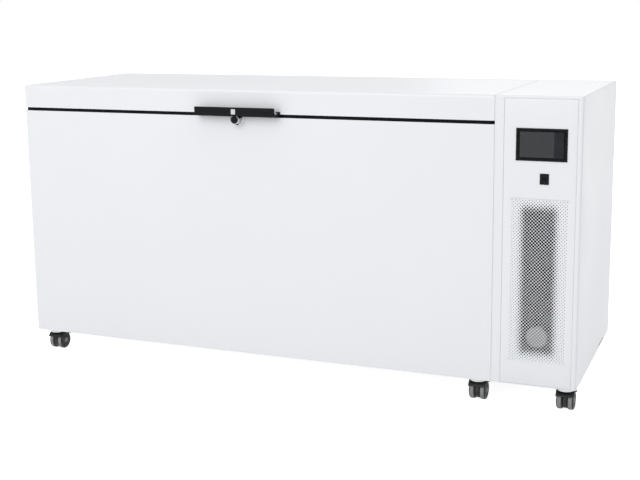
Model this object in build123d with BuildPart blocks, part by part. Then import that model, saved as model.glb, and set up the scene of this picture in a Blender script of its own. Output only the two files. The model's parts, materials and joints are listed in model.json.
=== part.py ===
from build123d import *
import os

os.makedirs("parts", exist_ok=True)

# Driving dimensions of the freezer, in millimetres
overall_width = 2090
body_depth = 735
body_height = 857
gasket_height = 12
lid_height = 83
caster_height = 85
tower_width = 276
wall_thickness = 125
floor_thickness = 120

# Shared sheet thicknesses, gaps and clearances
sheet = 1.2
end_gap = 4
panel_gap = 1.5
fit_gap = 0.3
running_gap = 0.05
overrun = 20

# Lid handle, lock and hinge sizes that set how far the body reaches out
handle_length = 318
handle_height = 30
handle_reach = 42
handle_slope = 6
handle_wall = 4
handle_edge = 3
handle_lift = 6
handle_offset = -3
keeper_width = 16
keeper_height = 18
keeper_plate = 1.5
hinge_radius = 9
hinge_reach = 2 * hinge_radius

# Overall places: origin on the floor, under the middle of the whole freezer
total_depth = handle_reach + keeper_plate + body_depth + hinge_reach
y_front = handle_reach + keeper_plate - total_depth / 2
y_back = y_front + body_depth
x_left = -overall_width / 2
x_right = overall_width / 2
tower_left = x_right - tower_width
chest_right = tower_left - end_gap
chest_width = chest_right - x_left
chest_middle = (x_left + chest_right) / 2
x_handle = chest_middle + handle_offset
z_base = caster_height
z_rim = z_base + body_height
z_lid = z_rim + gasket_height
z_top = z_lid + lid_height


def save(part, name):
    part.label = name
    export_step(part, f"parts/{name}.step")


# A box from its lowest corner to its highest corner
def block(low, high, mode=Mode.ADD):
    sizes = [b - a for a, b in zip(low, high)]
    with Locations(tuple(low)):
        Box(*sizes, align=(Align.MIN, Align.MIN, Align.MIN), mode=mode)


# A rectangle seen from above, with one radius on its left corners and one on its right
def plan(x0, x1, y0, y1, left_radius, right_radius):
    with BuildSketch() as outline:
        with Locations(((x0 + x1) / 2, (y0 + y1) / 2)):
            Rectangle(x1 - x0, y1 - y0)
        if left_radius > 0:
            fillet(outline.vertices().group_by(Axis.X)[0], radius=left_radius)
        if right_radius > 0:
            fillet(outline.vertices().group_by(Axis.X)[-1], radius=right_radius)
    return outline.sketch


# A round tube along straight runs joined by tangent arcs
def pipe(points, radius, bend):
    with BuildPart() as run:
        with BuildLine() as route:
            FilletPolyline(*points, radius=bend)
        with BuildSketch(Plane(origin=route.line @ 0, z_dir=route.line % 0)):
            Circle(radius)
        sweep()
    return run.part


# Outline of the chest, drawn in from its outer faces by inset
chest_corner = 14
seam_corner = 3
side_corner = 8


def chest_plan(inset):
    edges = (x_left + inset, chest_right - inset, y_front + inset, y_back - inset)
    return plan(*edges, max(chest_corner - inset, 0), max(seam_corner - inset, 0))


# Base frame: a ladder of upward-facing channels over the casters
rail_width = 100
rail_height = 35
rail_wall = 2.5
caster_setback = 48
front_left_inset = 64
front_right_inset = 40
rear_caster_inset = 80
middle_caster_offset = 58
caster_boss_radius = 14
z_deck = z_base + rail_height
frame_inset = sheet + fit_gap
x_middle_caster = tower_left - middle_caster_offset
caster_rows = (
    (y_front + caster_setback, front_left_inset, front_right_inset),
    (y_back - caster_setback, rear_caster_inset, rear_caster_inset),
)
caster_places = [
    (x, y)
    for y, left_inset, right_inset in caster_rows
    for x in (x_left + left_inset, x_middle_caster, x_right - right_inset)
]


def ladder(inset):
    left, right = x_left + frame_inset, x_right - frame_inset
    front, back = y_front + frame_inset, y_back - frame_inset
    bays = (
        (left + rail_width, x_middle_caster - rail_width / 2),
        (x_middle_caster + rail_width / 2, right - rail_width),
    )
    with BuildSketch() as outline:
        outer = (left + inset, right - inset, front + inset, back - inset)
        add(plan(*outer, chest_corner - inset, side_corner - inset))
        for x0, x1 in bays:
            bay = (x0 - inset, x1 + inset, front + rail_width - inset, back - rail_width + inset)
            add(plan(*bay, 0, 0), mode=Mode.SUBTRACT)
    return outline.sketch


whole_ladder = ladder(0)
inner_ladder = ladder(rail_wall)

with BuildPart() as base_frame:
    with BuildSketch(Plane.XY.offset(z_base)):
        add(whole_ladder)
    extrude(amount=rail_height)
    with BuildSketch(Plane.XY.offset(z_base + rail_wall)):
        add(inner_ladder)
    extrude(amount=rail_height, mode=Mode.SUBTRACT)
    with BuildSketch(Plane.XY.offset(z_base)):
        with Locations(*caster_places):
            Circle(caster_boss_radius + fit_gap)
    extrude(amount=rail_wall, mode=Mode.SUBTRACT)
save(base_frame.part, "base_frame")

# Casters: plates bolted under the frame, swivelling hoods and twin wheels
wheel_radius = 32.5
wheel_width = 21
wheel_edge = 7
wheel_dish = 3
wheel_hub_radius = 13
web_width = 12
web_margin = 4
web_gap = 1.5
axle_radius = 4
trail = 12
caster_plate_size = 72
caster_plate = 3
plate_corner = 8
caster_boss_height = 14
stem_radius = 6
disc_radius = 27
disc_height = 12
disc_gap = 1
hood_gap = 2.5
hood_wall = 2.5
hood_lift = 18
bolt_pitch = 54
bolt_radius = 5
bolt_head = 4
z_plate = z_base - caster_plate
z_disc = z_plate - disc_gap
twin_width = 2 * wheel_width + web_width + 2 * web_gap
hood_width = twin_width + 2 * web_gap

with BuildPart() as caster_plates:
    for x, y in caster_places:
        with BuildSketch(Plane.XY.offset(z_plate)):
            with Locations((x, y)):
                RectangleRounded(caster_plate_size, caster_plate_size, plate_corner)
        extrude(amount=caster_plate)
        with BuildSketch(Plane.XY.offset(z_base)):
            with Locations((x, y)):
                Circle(caster_boss_radius)
        extrude(amount=caster_boss_height)
    with BuildSketch(Plane.XY.offset(z_plate)):
        with Locations(*caster_places):
            Circle(stem_radius + running_gap)
    extrude(amount=caster_plate + caster_boss_height, mode=Mode.SUBTRACT)
save(caster_plates.part, "caster_plates")

with BuildPart() as caster_bolts:
    for x, y in caster_places:
        with BuildSketch(Plane.XY.offset(z_plate)):
            with Locations((x, y)):
                with GridLocations(bolt_pitch, bolt_pitch, 2, 2):
                    RegularPolygon(bolt_radius, 6)
        extrude(amount=-bolt_head)
save(caster_bolts.part, "caster_bolts")


# Side view of the part of the hood's circle that stands above the wheels' upper third
def hood_cap(axle_y):
    with BuildSketch() as cap:
        with Locations((axle_y, wheel_radius)):
            Circle(wheel_radius + hood_gap + hood_wall)
        with Locations((axle_y, wheel_radius + hood_lift)):
            Rectangle(
                4 * wheel_radius, 4 * wheel_radius, align=(Align.CENTER, Align.MAX), mode=Mode.SUBTRACT
            )
    return cap.sketch


def make_caster_fork(x, y):
    axle_y = y + trail
    cap = hood_cap(axle_y)
    with BuildPart() as fork:
        with BuildSketch(Plane.XY.offset(z_disc)):
            with Locations((x, y)):
                Circle(disc_radius)
        extrude(amount=-disc_height)
        with BuildSketch(Plane.XY.offset(z_disc)):
            with Locations((x, y)):
                Circle(stem_radius)
        extrude(amount=disc_gap + caster_plate + caster_boss_height)
        # The hood is an arched cap over both wheels
        with BuildSketch(Plane.YZ.offset(x - hood_width / 2)):
            add(cap)
            with Locations((axle_y, wheel_radius)):
                Circle(wheel_radius + hood_gap, mode=Mode.SUBTRACT)
        extrude(amount=hood_width)
        # The web between the wheels carries the axle and joins the hood
        with BuildSketch(Plane.YZ.offset(x - web_width / 2)):
            add(cap)
            with Locations((axle_y, wheel_radius)):
                Circle(wheel_radius - web_margin)
        extrude(amount=web_width)
        with BuildSketch(Plane.YZ.offset(x - web_width)):
            with Locations((axle_y, wheel_radius)):
                Circle(axle_radius + running_gap)
        extrude(amount=2 * web_width, mode=Mode.SUBTRACT)
    return fork.part


def make_caster_wheels(x, y):
    axle_y = y + trail
    inner = web_width / 2 + web_gap
    outer = inner + wheel_width
    with BuildPart() as wheels:
        with BuildSketch(Plane.YZ.offset(x - outer)):
            with Locations((axle_y, wheel_radius)):
                Circle(axle_radius)
        extrude(amount=2 * outer)
        for start in (x - outer, x + inner):
            with BuildSketch(Plane.YZ.offset(start)):
                with Locations((axle_y, wheel_radius)):
                    Circle(wheel_radius)
            extrude(amount=wheel_width)
        fillet(
            wheels.edges().filter_by(GeomType.CIRCLE).filter_by(lambda e: e.radius > wheel_hub_radius),
            radius=wheel_edge,
        )
        for start, way in ((x - outer, 1), (x + outer, -1)):
            with BuildSketch(Plane.YZ.offset(start)):
                with Locations((axle_y, wheel_radius)):
                    Circle(wheel_radius - 2 * wheel_edge)
                    Circle(wheel_hub_radius, mode=Mode.SUBTRACT)
            extrude(amount=way * wheel_dish, mode=Mode.SUBTRACT)
    return wheels.part


for number, (x, y) in enumerate(caster_places, start=1):
    save(make_caster_fork(x, y), f"caster_fork_{number}")
    save(make_caster_wheels(x, y), f"caster_wheels_{number}")

# Rim: sheet flange, plastic collar and the ledge that carries the inner lids
rim_flange = 30
collar_sheet = 3
ledge_width = 30
ledge_depth = 60
liner_sheet = 1
liner_corner = 10
liner_fold = 8
opening_inset = wall_thickness + liner_sheet - ledge_width
opening_corner = 20
z_ledge = z_rim - ledge_depth
z_liner_top = z_ledge - collar_sheet
z_liner_floor = z_deck + floor_thickness


def square_plan(inset, corner):
    edges = (x_left + inset, chest_right - inset, y_front + inset, y_back - inset)
    return plan(*edges, corner, corner)


# Evaporator: one tube wound round the liner, with both ends led into the tower
coil_radius = 4.75
coil_turns = 6
coil_pitch = 85
coil_low = 60
coil_bend = liner_corner + fit_gap + coil_radius
coil_stub = 26
coil_hole_radius = 7
coil_inset = wall_thickness - fit_gap - coil_radius
coil_left, coil_right = x_left + coil_inset, chest_right - coil_inset
coil_front, coil_back = y_front + coil_inset, y_back - coil_inset
z_coil = z_liner_floor + coil_low
x_coil_end = tower_left + coil_stub
z_coil_top = z_coil + (coil_turns - 0.5) * coil_pitch
coil_rise = coil_pitch / 4
coil_points = [(x_coil_end, coil_back, z_coil), (coil_left, coil_back, z_coil)]
corner_cycle = (
    (coil_left, coil_front),
    (coil_right, coil_front),
    (coil_right, coil_back),
    (coil_left, coil_back),
)
for corner in range(4 * coil_turns - 3):
    x, y = corner_cycle[corner % 4]
    coil_points.append((x, y, z_coil + (corner + 1) * coil_rise))
z_coil_end = coil_points[-1][2]
coil_points.append((x_coil_end, coil_front, z_coil_end))
coil_exits = ((coil_back, z_coil), (coil_front, z_coil_end))

coil_tube = pipe(coil_points, coil_radius, coil_bend)
save(coil_tube, "evaporator_coil")

# Outer cabinet of folded and painted sheet
collar_hole = square_plan(rim_flange - fit_gap, opening_corner)
with BuildPart() as cabinet_shell:
    with BuildSketch(Plane.XY.offset(z_base)):
        add(chest_plan(0))
        add(chest_plan(sheet), mode=Mode.SUBTRACT)
    extrude(amount=body_height)
    with BuildSketch(Plane.XY.offset(z_rim - sheet)):
        add(chest_plan(0))
        add(collar_hole, mode=Mode.SUBTRACT)
    extrude(amount=sheet)
    with BuildSketch(Plane.XY.offset(z_deck)):
        add(chest_plan(0))
    extrude(amount=sheet)
    block(
        (chest_right - seam_corner - sheet, y_front + sheet, z_base - overrun),
        (chest_right + overrun, y_back - sheet, z_deck),
        Mode.SUBTRACT,
    )
    with BuildSketch(Plane.YZ.offset(chest_right - overrun)):
        with Locations(*coil_exits):
            Circle(coil_hole_radius)
    extrude(amount=2 * overrun, mode=Mode.SUBTRACT)
save(cabinet_shell.part, "cabinet_shell")

# Stainless chamber liner, an open tank
with BuildPart() as chamber_liner:
    with BuildSketch(Plane.XY.offset(z_liner_floor)):
        add(square_plan(wall_thickness, liner_corner))
    extrude(amount=z_liner_top - z_liner_floor)
    fillet(chamber_liner.faces().sort_by(Axis.Z)[0].edges(), radius=liner_fold)
    offset(amount=-liner_sheet, openings=chamber_liner.faces().sort_by(Axis.Z)[-1])
save(chamber_liner.part, "chamber_liner")

# Plastic collar from the cabinet's flange down to the ledge and the liner
chamber_mouth = square_plan(wall_thickness + liner_sheet, liner_corner - liner_sheet)
with BuildPart() as rim_collar:
    with BuildSketch(Plane.XY.offset(z_rim - collar_sheet)):
        add(square_plan(rim_flange, opening_corner))
        add(square_plan(opening_inset, opening_corner), mode=Mode.SUBTRACT)
    extrude(amount=collar_sheet)
    with BuildSketch(Plane.XY.offset(z_liner_top)):
        add(square_plan(opening_inset - collar_sheet, opening_corner + collar_sheet))
        add(square_plan(opening_inset, opening_corner), mode=Mode.SUBTRACT)
    extrude(amount=ledge_depth + collar_sheet)
    with BuildSketch(Plane.XY.offset(z_liner_top)):
        add(square_plan(opening_inset - collar_sheet, opening_corner + collar_sheet))
        add(chamber_mouth, mode=Mode.SUBTRACT)
    extrude(amount=collar_sheet)
save(rim_collar.part, "rim_collar")

# Vacuum panels set into the outside of the foam
panel_thickness = 25
panel_margin = 90
panel_low = z_deck + sheet + panel_margin
panel_high = z_liner_top - panel_margin
foam_inset = sheet + fit_gap
panel_boxes = (
    (
        (x_left + panel_margin, y_front + foam_inset, panel_low),
        (chest_right - panel_margin, y_front + foam_inset + panel_thickness, panel_high),
    ),
    (
        (x_left + panel_margin, y_back - foam_inset - panel_thickness, panel_low),
        (chest_right - panel_margin, y_back - foam_inset, panel_high),
    ),
    (
        (x_left + foam_inset, y_front + panel_margin, panel_low),
        (x_left + foam_inset + panel_thickness, y_back - panel_margin, panel_high),
    ),
    (
        (x_left + panel_margin, y_front + panel_margin, z_deck + sheet),
        (chest_right - panel_margin, y_back - panel_margin, z_deck + sheet + panel_thickness),
    ),
)
with BuildPart() as vacuum_panels:
    for low, high in panel_boxes:
        block(low, high)
save(vacuum_panels.part, "vacuum_panels")

# Insulating foam between the cabinet and the liner
coil_pocket = 2 * coil_radius + 2 * fit_gap
with BuildPart() as foam_body:
    with BuildSketch(Plane.XY.offset(z_deck + sheet)):
        add(chest_plan(foam_inset))
    extrude(amount=z_rim - sheet - z_deck - sheet)
    with BuildSketch(Plane.XY.offset(z_liner_floor - fit_gap)):
        add(square_plan(wall_thickness - fit_gap, liner_corner + fit_gap))
    extrude(amount=body_height, mode=Mode.SUBTRACT)
    with BuildSketch(Plane.XY.offset(z_liner_top)):
        add(square_plan(opening_inset - collar_sheet - fit_gap, opening_corner))
    extrude(amount=body_height, mode=Mode.SUBTRACT)
    with BuildSketch(Plane.XY.offset(z_rim - collar_sheet)):
        add(square_plan(rim_flange - fit_gap, opening_corner))
    extrude(amount=body_height, mode=Mode.SUBTRACT)
    with BuildSketch(Plane.XY.offset(z_coil - 2 * coil_radius)):
        add(square_plan(wall_thickness - coil_pocket, liner_corner))
    extrude(amount=z_coil_end - z_coil + 4 * coil_radius, mode=Mode.SUBTRACT)
    with BuildSketch(Plane.YZ.offset(chest_right - wall_thickness - overrun)):
        with Locations(*coil_exits):
            Circle(coil_hole_radius)
    extrude(amount=wall_thickness + 2 * overrun, mode=Mode.SUBTRACT)
    for low, high in panel_boxes:
        block(low, high, Mode.SUBTRACT)
save(foam_body.part, "foam_body")

# Lid: outer pan, foam, liner with its plug, and gasket
lid_edge = 10
lid_fold = 24
lid_liner_sheet = 2
plug_clearance = 9.6
plug_inset = opening_inset + plug_clearance
plug_depth = 18
plug_corner = 16
gasket_inset = 5
gasket_width = 26

with BuildPart() as lid_shell:
    with BuildSketch(Plane.XY.offset(z_lid)):
        add(chest_plan(0))
    extrude(amount=lid_height)
    fillet(lid_shell.faces().sort_by(Axis.Z)[-1].edges(), radius=lid_edge)
    offset(amount=-sheet, openings=lid_shell.faces().sort_by(Axis.Z)[0])
    with BuildSketch(Plane.XY.offset(z_lid)):
        add(chest_plan(0))
        add(square_plan(lid_fold, 0), mode=Mode.SUBTRACT)
    extrude(amount=sheet)
save(lid_shell.part, "lid_shell")

with BuildPart() as lid_liner:
    with BuildSketch(Plane.XY.offset(z_lid)):
        add(square_plan(lid_fold + fit_gap, 0))
    extrude(amount=lid_liner_sheet)
    with BuildSketch(Plane.XY.offset(z_lid - plug_depth)):
        add(square_plan(plug_inset, plug_corner))
    extrude(amount=plug_depth)
    with BuildSketch(Plane.XY.offset(z_lid - plug_depth + lid_liner_sheet)):
        add(square_plan(plug_inset + lid_liner_sheet, plug_corner - lid_liner_sheet))
    extrude(amount=plug_depth, mode=Mode.SUBTRACT)
save(lid_liner.part, "lid_liner")

with BuildPart() as lid_foam:
    with BuildSketch(Plane.XY.offset(z_lid + lid_liner_sheet)):
        add(chest_plan(sheet + fit_gap))
    extrude(amount=lid_height - lid_liner_sheet - sheet - fit_gap)
    fillet(lid_foam.faces().sort_by(Axis.Z)[-1].edges(), radius=lid_edge)
    with BuildSketch(Plane.XY.offset(z_lid - plug_depth + lid_liner_sheet)):
        inner_plug = plug_inset + lid_liner_sheet + fit_gap
        add(square_plan(inner_plug, plug_corner - lid_liner_sheet))
    extrude(amount=plug_depth)
save(lid_foam.part, "lid_foam")

with BuildPart() as lid_gasket:
    with BuildSketch(Plane.XY.offset(z_rim)):
        add(square_plan(gasket_inset, chest_corner))
        add(square_plan(gasket_inset + gasket_width, chest_corner), mode=Mode.SUBTRACT)
    extrude(amount=gasket_height)
save(lid_gasket.part, "lid_gasket")

# Black bow handle, hollow from below, over the seam
z_handle = z_rim + handle_lift


def handle_outline(inset):
    half = handle_length / 2 - inset
    with BuildSketch() as outline:
        with BuildLine():
            Polyline(
                (x_handle - half, y_front),
                (x_handle - half + handle_slope, y_front - handle_reach + inset),
                (x_handle + half - handle_slope, y_front - handle_reach + inset),
                (x_handle + half, y_front),
                close=True,
            )
        make_face()
    return outline.sketch


with BuildPart() as lid_handle:
    with BuildSketch(Plane.XY.offset(z_handle)):
        add(handle_outline(0))
    extrude(amount=handle_height)
    fillet(lid_handle.faces().sort_by(Axis.Y)[0].edges(), radius=handle_edge)
    with BuildSketch(Plane.XY.offset(z_handle)):
        add(handle_outline(handle_wall))
    extrude(amount=handle_height - handle_wall, mode=Mode.SUBTRACT)
save(lid_handle.part, "lid_handle")

# Keeper plate on the handle, above the lock
keeper_corner = 2
z_keeper = z_handle + handle_height / 2
with BuildPart() as lock_keeper:
    with BuildSketch(Plane.XZ.offset(-(y_front - handle_reach))):
        with Locations((x_handle, z_keeper)):
            RectangleRounded(keeper_width, keeper_height, keeper_corner)
    extrude(amount=keeper_plate)
save(lock_keeper.part, "lock_keeper")

# Lock: a barrel on the chest's front with a turning plug and its pawl
lock_drop = 7
lock_radius = 17
lock_reach = 34
lock_edge = 1.5
plug_radius = 14
plug_proud = 1
pawl_start = 12
pawl_thickness = 4
pawl_length = 20.5
pawl_width = 10
key_width = 2
key_height = 9
key_depth = 12
z_lock = z_rim - lock_drop
lock_plane = Plane.XZ.offset(-y_front)
with BuildPart() as lock_barrel:
    with BuildSketch(lock_plane):
        with Locations((x_handle, z_lock)):
            Circle(lock_radius)
    extrude(amount=lock_reach)
    chamfer(lock_barrel.faces().sort_by(Axis.Y)[0].edges(), length=lock_edge)
    with BuildSketch(lock_plane):
        with Locations((x_handle, z_lock)):
            Circle(plug_radius + running_gap)
    extrude(amount=lock_reach, mode=Mode.SUBTRACT)
    block(
        (
            x_handle - lock_radius - overrun,
            y_front - pawl_start - pawl_thickness - fit_gap,
            z_lock - lock_radius - overrun,
        ),
        (
            x_handle + pawl_width / 2 + fit_gap,
            y_front - pawl_start + fit_gap,
            z_lock + lock_radius + overrun,
        ),
        Mode.SUBTRACT,
    )
save(lock_barrel.part, "lock_barrel")

with BuildPart() as lock_plug:
    with BuildSketch(Plane.XZ.offset(-y_front + fit_gap)):
        with Locations((x_handle, z_lock)):
            Circle(plug_radius)
    extrude(amount=lock_reach + plug_proud - fit_gap)
    with BuildSketch(Plane.XZ.offset(-y_front + pawl_start)):
        with Locations((x_handle, z_lock)):
            Rectangle(pawl_width, pawl_length, align=(Align.CENTER, Align.MAX))
    extrude(amount=pawl_thickness)
    with BuildSketch(Plane.XZ.offset(-y_front + lock_reach + plug_proud)):
        with Locations((x_handle, z_lock)):
            Rectangle(key_width, key_height)
    extrude(amount=-key_depth, mode=Mode.SUBTRACT)
save(lock_plug.part, "lock_plug")

# Rear hinges: leaves on the cabinet and on the lid, joined by pins
hinge_shares = (-0.36, 0, 0.36)
hinge_length = 90
knuckle_length = 28
leaf_thickness = 3
leaf_height = 55
pin_radius = 4
hinge_screw_pitch = 60
y_hinge = y_back + hinge_radius
z_hinge = z_rim + gasket_height / 2
hinge_xs = [chest_middle + share * chest_width for share in hinge_shares]
side_knuckle = (hinge_length - knuckle_length) / 2 - fit_gap


# A knuckle with its foot on the leaf; way is -1 below the pin and 1 above it
def knuckle(x0, length, way):
    foot = sorted((z_hinge, z_hinge + way * hinge_radius))
    block((x0, y_back, foot[0]), (x0 + length, y_hinge, foot[1]))
    block(
        (x0, y_back, min(foot[0], z_hinge + way * leaf_height)),
        (x0 + length, y_back + leaf_thickness, max(foot[1], z_hinge + way * leaf_height)),
    )
    with BuildSketch(Plane.YZ.offset(x0)) as round_end:
        with Locations((y_hinge, z_hinge)):
            Circle(hinge_radius)
    extrude(round_end.sketch, amount=length)


def bore_hinges():
    with BuildSketch(Plane.YZ.offset(x_left)) as bore:
        with Locations((y_hinge, z_hinge)):
            Circle(pin_radius + running_gap)
    extrude(bore.sketch, amount=overall_width, mode=Mode.SUBTRACT)


with BuildPart() as hinge_body_leaves:
    for x in hinge_xs:
        for start in (x - hinge_length / 2, x + hinge_length / 2 - side_knuckle):
            knuckle(start, side_knuckle, -1)
        block(
            (x - hinge_length / 2, y_back, z_hinge - leaf_height),
            (x + hinge_length / 2, y_back + leaf_thickness, z_hinge - hinge_radius - fit_gap),
        )
    bore_hinges()
save(hinge_body_leaves.part, "hinge_body_leaves")

with BuildPart() as hinge_lid_leaves:
    for x in hinge_xs:
        knuckle(x - knuckle_length / 2, knuckle_length, 1)
        block(
            (x - hinge_length / 2, y_back, z_hinge + hinge_radius + fit_gap),
            (x + hinge_length / 2, y_back + leaf_thickness, z_hinge + leaf_height),
        )
    bore_hinges()
save(hinge_lid_leaves.part, "hinge_lid_leaves")

with BuildPart() as hinge_pins:
    for x in hinge_xs:
        with BuildSketch(Plane.YZ.offset(x - hinge_length / 2)):
            with Locations((y_hinge, z_hinge)):
                Circle(pin_radius)
        extrude(amount=hinge_length)
save(hinge_pins.part, "hinge_pins")

# Inner lids: two foam slabs that turn on one rod behind them
slab_height = 40
slab_gap = 6
slab_corner = 5
rod_radius = 3
rod_inset = 12
slab_back_gap = 10
rod_block_width = 20
rod_block_half = 5
loop_radius = 6
loop_width = 24
loop_share = 0.3
grip_length = 120
grip_width = 30
grip_depth = 18
grip_edge = 45
opening_left, opening_right = x_left + opening_inset, chest_right - opening_inset
opening_front, opening_back = y_front + opening_inset, y_back - opening_inset
y_rod = opening_back - rod_inset
z_rod = z_ledge + slab_height
rod_block_xs = (
    opening_left + opening_corner + rod_block_width / 2,
    chest_middle,
    opening_right - opening_corner - rod_block_width / 2,
)

with BuildPart() as inner_hinge_rod:
    with BuildSketch(Plane.YZ.offset(rod_block_xs[0])):
        with Locations((y_rod, z_rod)):
            Circle(rod_radius)
    extrude(amount=rod_block_xs[2] - rod_block_xs[0])
    for x in rod_block_xs:
        block(
            (x - rod_block_width / 2, y_rod - rod_block_half, z_ledge),
            (x + rod_block_width / 2, opening_back, z_rod + rod_block_half),
        )
save(inner_hinge_rod.part, "inner_hinge_rod")


def make_inner_lid(x0, x1):
    front, back = opening_front + slab_gap, y_rod - slab_back_gap
    middle, width = (x0 + x1) / 2, x1 - x0
    with BuildPart() as slab:
        with BuildSketch(Plane.XY.offset(z_ledge)):
            add(plan(x0, x1, front, back, slab_corner, slab_corner))
        extrude(amount=slab_height)
        with BuildSketch(Plane.XY.offset(z_rod)):
            with Locations((middle, front + grip_edge)):
                Rectangle(grip_length, grip_width)
        extrude(amount=-grip_depth, mode=Mode.SUBTRACT)
        for x in (middle - loop_share * width, middle + loop_share * width):
            block(
                (x - loop_width / 2, back - slab_corner, z_rod - loop_radius),
                (x + loop_width / 2, y_rod, z_rod),
            )
            with BuildSketch(Plane.YZ.offset(x - loop_width / 2)):
                with Locations((y_rod, z_rod)):
                    Circle(loop_radius)
            extrude(amount=loop_width)
        with BuildSketch(Plane.YZ.offset(x0)):
            with Locations((y_rod, z_rod)):
                Circle(rod_radius + running_gap)
        extrude(amount=width, mode=Mode.SUBTRACT)
    return slab.part


save(make_inner_lid(opening_left + slab_gap, chest_middle - slab_gap / 2), "inner_lid_left")
save(make_inner_lid(chest_middle + slab_gap / 2, opening_right - slab_gap), "inner_lid_right")

# Machine tower: outer panels
stile_width = 25
side_flange = 15
fold_depth = 16
cover_height = 8
cover_edge = 5
z_cover = z_top - cover_height

with BuildPart() as top_cover:
    with BuildSketch(Plane.XY.offset(z_cover)):
        add(plan(tower_left, x_right, y_front, y_back, 0, side_corner))
    extrude(amount=cover_height)
    fillet(top_cover.faces().sort_by(Axis.Z)[-1].edges(), radius=cover_edge)
    offset(amount=-sheet, openings=top_cover.faces().sort_by(Axis.Z)[0])
save(top_cover.part, "top_cover")

side_slot_start = 490
side_slot_length = 114
side_slot_height = 5
side_slot_lift = 6
with BuildPart() as side_panel:
    with BuildSketch(Plane.XY.offset(z_base)):
        add(plan(x_right - side_flange, x_right, y_front, y_back, 0, side_corner))
        inner = (x_right - side_flange - sheet, x_right - sheet, y_front + sheet, y_back - sheet)
        add(plan(*inner, 0, side_corner - sheet), mode=Mode.SUBTRACT)
    extrude(amount=z_cover - z_base)
    slot_low = z_base + side_slot_lift
    block(
        (x_right - side_flange, y_front + side_slot_start, slot_low),
        (x_right + overrun, y_front + side_slot_start + side_slot_length, slot_low + side_slot_height),
        Mode.SUBTRACT,
    )
save(side_panel.part, "side_panel")

with BuildPart() as tower_left_panel:
    block((tower_left, y_front, z_deck), (tower_left + sheet, y_back, z_cover))
    block((tower_left, y_front, z_base), (tower_left + stile_width, y_front + sheet, z_cover))
    block(
        (tower_left + stile_width - sheet, y_front, z_base),
        (tower_left + stile_width, y_front + sheet + fold_depth, z_cover),
    )
    with BuildSketch(Plane.YZ.offset(tower_left - overrun)):
        with Locations(*coil_exits):
            Circle(coil_hole_radius)
    extrude(amount=2 * overrun, mode=Mode.SUBTRACT)
    block(
        (tower_left - overrun, y_front + frame_inset - fit_gap, z_base - overrun),
        (x_right, y_back, z_deck),
        Mode.SUBTRACT,
    )
save(tower_left_panel.part, "tower_left_panel")

# Front panel with the display, the data port and the graded air grille
front_left = tower_left + stile_width + panel_gap
front_right = x_right - side_flange - panel_gap
front_lift = 1.5
z_front_low = z_base + front_lift
z_front_high = z_cover - panel_gap
front_middle = (front_left + front_right) / 2
front_edge = 3
display_width = 163
display_height = 104
display_offset = 4.5
display_drop = 147
display_lip = 7
display_depth = 14
display_proud = 2
glass_thickness = 1.5
glass_border = 5
port_width = 29
port_height = 35
port_offset = 15.5
port_drop = 256
port_lip = 3
port_depth = 18
port_proud = 1.5
socket_width = 13
socket_height = 6
socket_depth = 12
grille_width = 180
grille_height = 543
grille_offset = -3
grille_lift = 353
grille_pitch = 24
grille_hole_radius = 7
x_display = front_middle + display_offset
z_display = z_cover - display_drop
x_port = front_middle + port_offset
z_port = z_cover - port_drop
x_grille = front_middle + grille_offset
z_grille = z_base + grille_lift
grille_columns = int(grille_width // grille_pitch)
grille_rows = int(grille_height // grille_pitch)

with BuildPart() as front_panel:
    with BuildSketch(Plane.XZ.offset(-(y_front + fold_depth))):
        with Locations((front_middle, (z_front_low + z_front_high) / 2)):
            Rectangle(front_right - front_left, z_front_high - z_front_low)
    extrude(amount=fold_depth)
    fillet(front_panel.faces().sort_by(Axis.Y)[0].edges(), radius=front_edge)
    offset(amount=-sheet, openings=front_panel.faces().sort_by(Axis.Y)[-1])
    with BuildSketch(Plane.XZ.offset(-(y_front + fold_depth))):
        with Locations((x_display, z_display)):
            Rectangle(display_width - 2 * display_lip, display_height - 2 * display_lip)
        with Locations((x_port, z_port)):
            Rectangle(port_width - 2 * port_lip, port_height - 2 * port_lip)
        with Locations((x_grille, z_grille)):
            with GridLocations(grille_pitch, grille_pitch, grille_columns, grille_rows):
                Circle(grille_hole_radius)
            with GridLocations(grille_pitch, grille_pitch, grille_columns - 1, grille_rows - 1):
                Circle(grille_hole_radius)
    extrude(amount=2 * fold_depth, mode=Mode.SUBTRACT)
    block(
        (front_left, y_front + sheet, z_base),
        (front_right, y_front + fold_depth, z_deck),
        Mode.SUBTRACT,
    )
save(front_panel.part, "front_panel")

with BuildPart() as display_bezel:
    with BuildSketch(Plane.XZ.offset(-y_front)):
        with Locations((x_display, z_display)):
            Rectangle(display_width, display_height)
    extrude(amount=display_proud)
    with BuildSketch(Plane.XZ.offset(-y_front)):
        with Locations((x_display, z_display)):
            Rectangle(
                display_width - 2 * display_lip - 2 * fit_gap,
                display_height - 2 * display_lip - 2 * fit_gap,
            )
    extrude(amount=-display_depth)
    with BuildSketch(Plane.XZ.offset(-(y_front - display_proud))):
        with Locations((x_display, z_display)):
            Rectangle(display_width - 2 * glass_border, display_height - 2 * glass_border)
    extrude(amount=-glass_thickness, mode=Mode.SUBTRACT)
save(display_bezel.part, "display_bezel")

with BuildPart() as touch_screen:
    with BuildSketch(Plane.XZ.offset(-(y_front - display_proud + glass_thickness))):
        with Locations((x_display, z_display)):
            Rectangle(
                display_width - 2 * glass_border - 2 * fit_gap,
                display_height - 2 * glass_border - 2 * fit_gap,
            )
    extrude(amount=glass_thickness)
save(touch_screen.part, "touch_screen")

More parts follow.
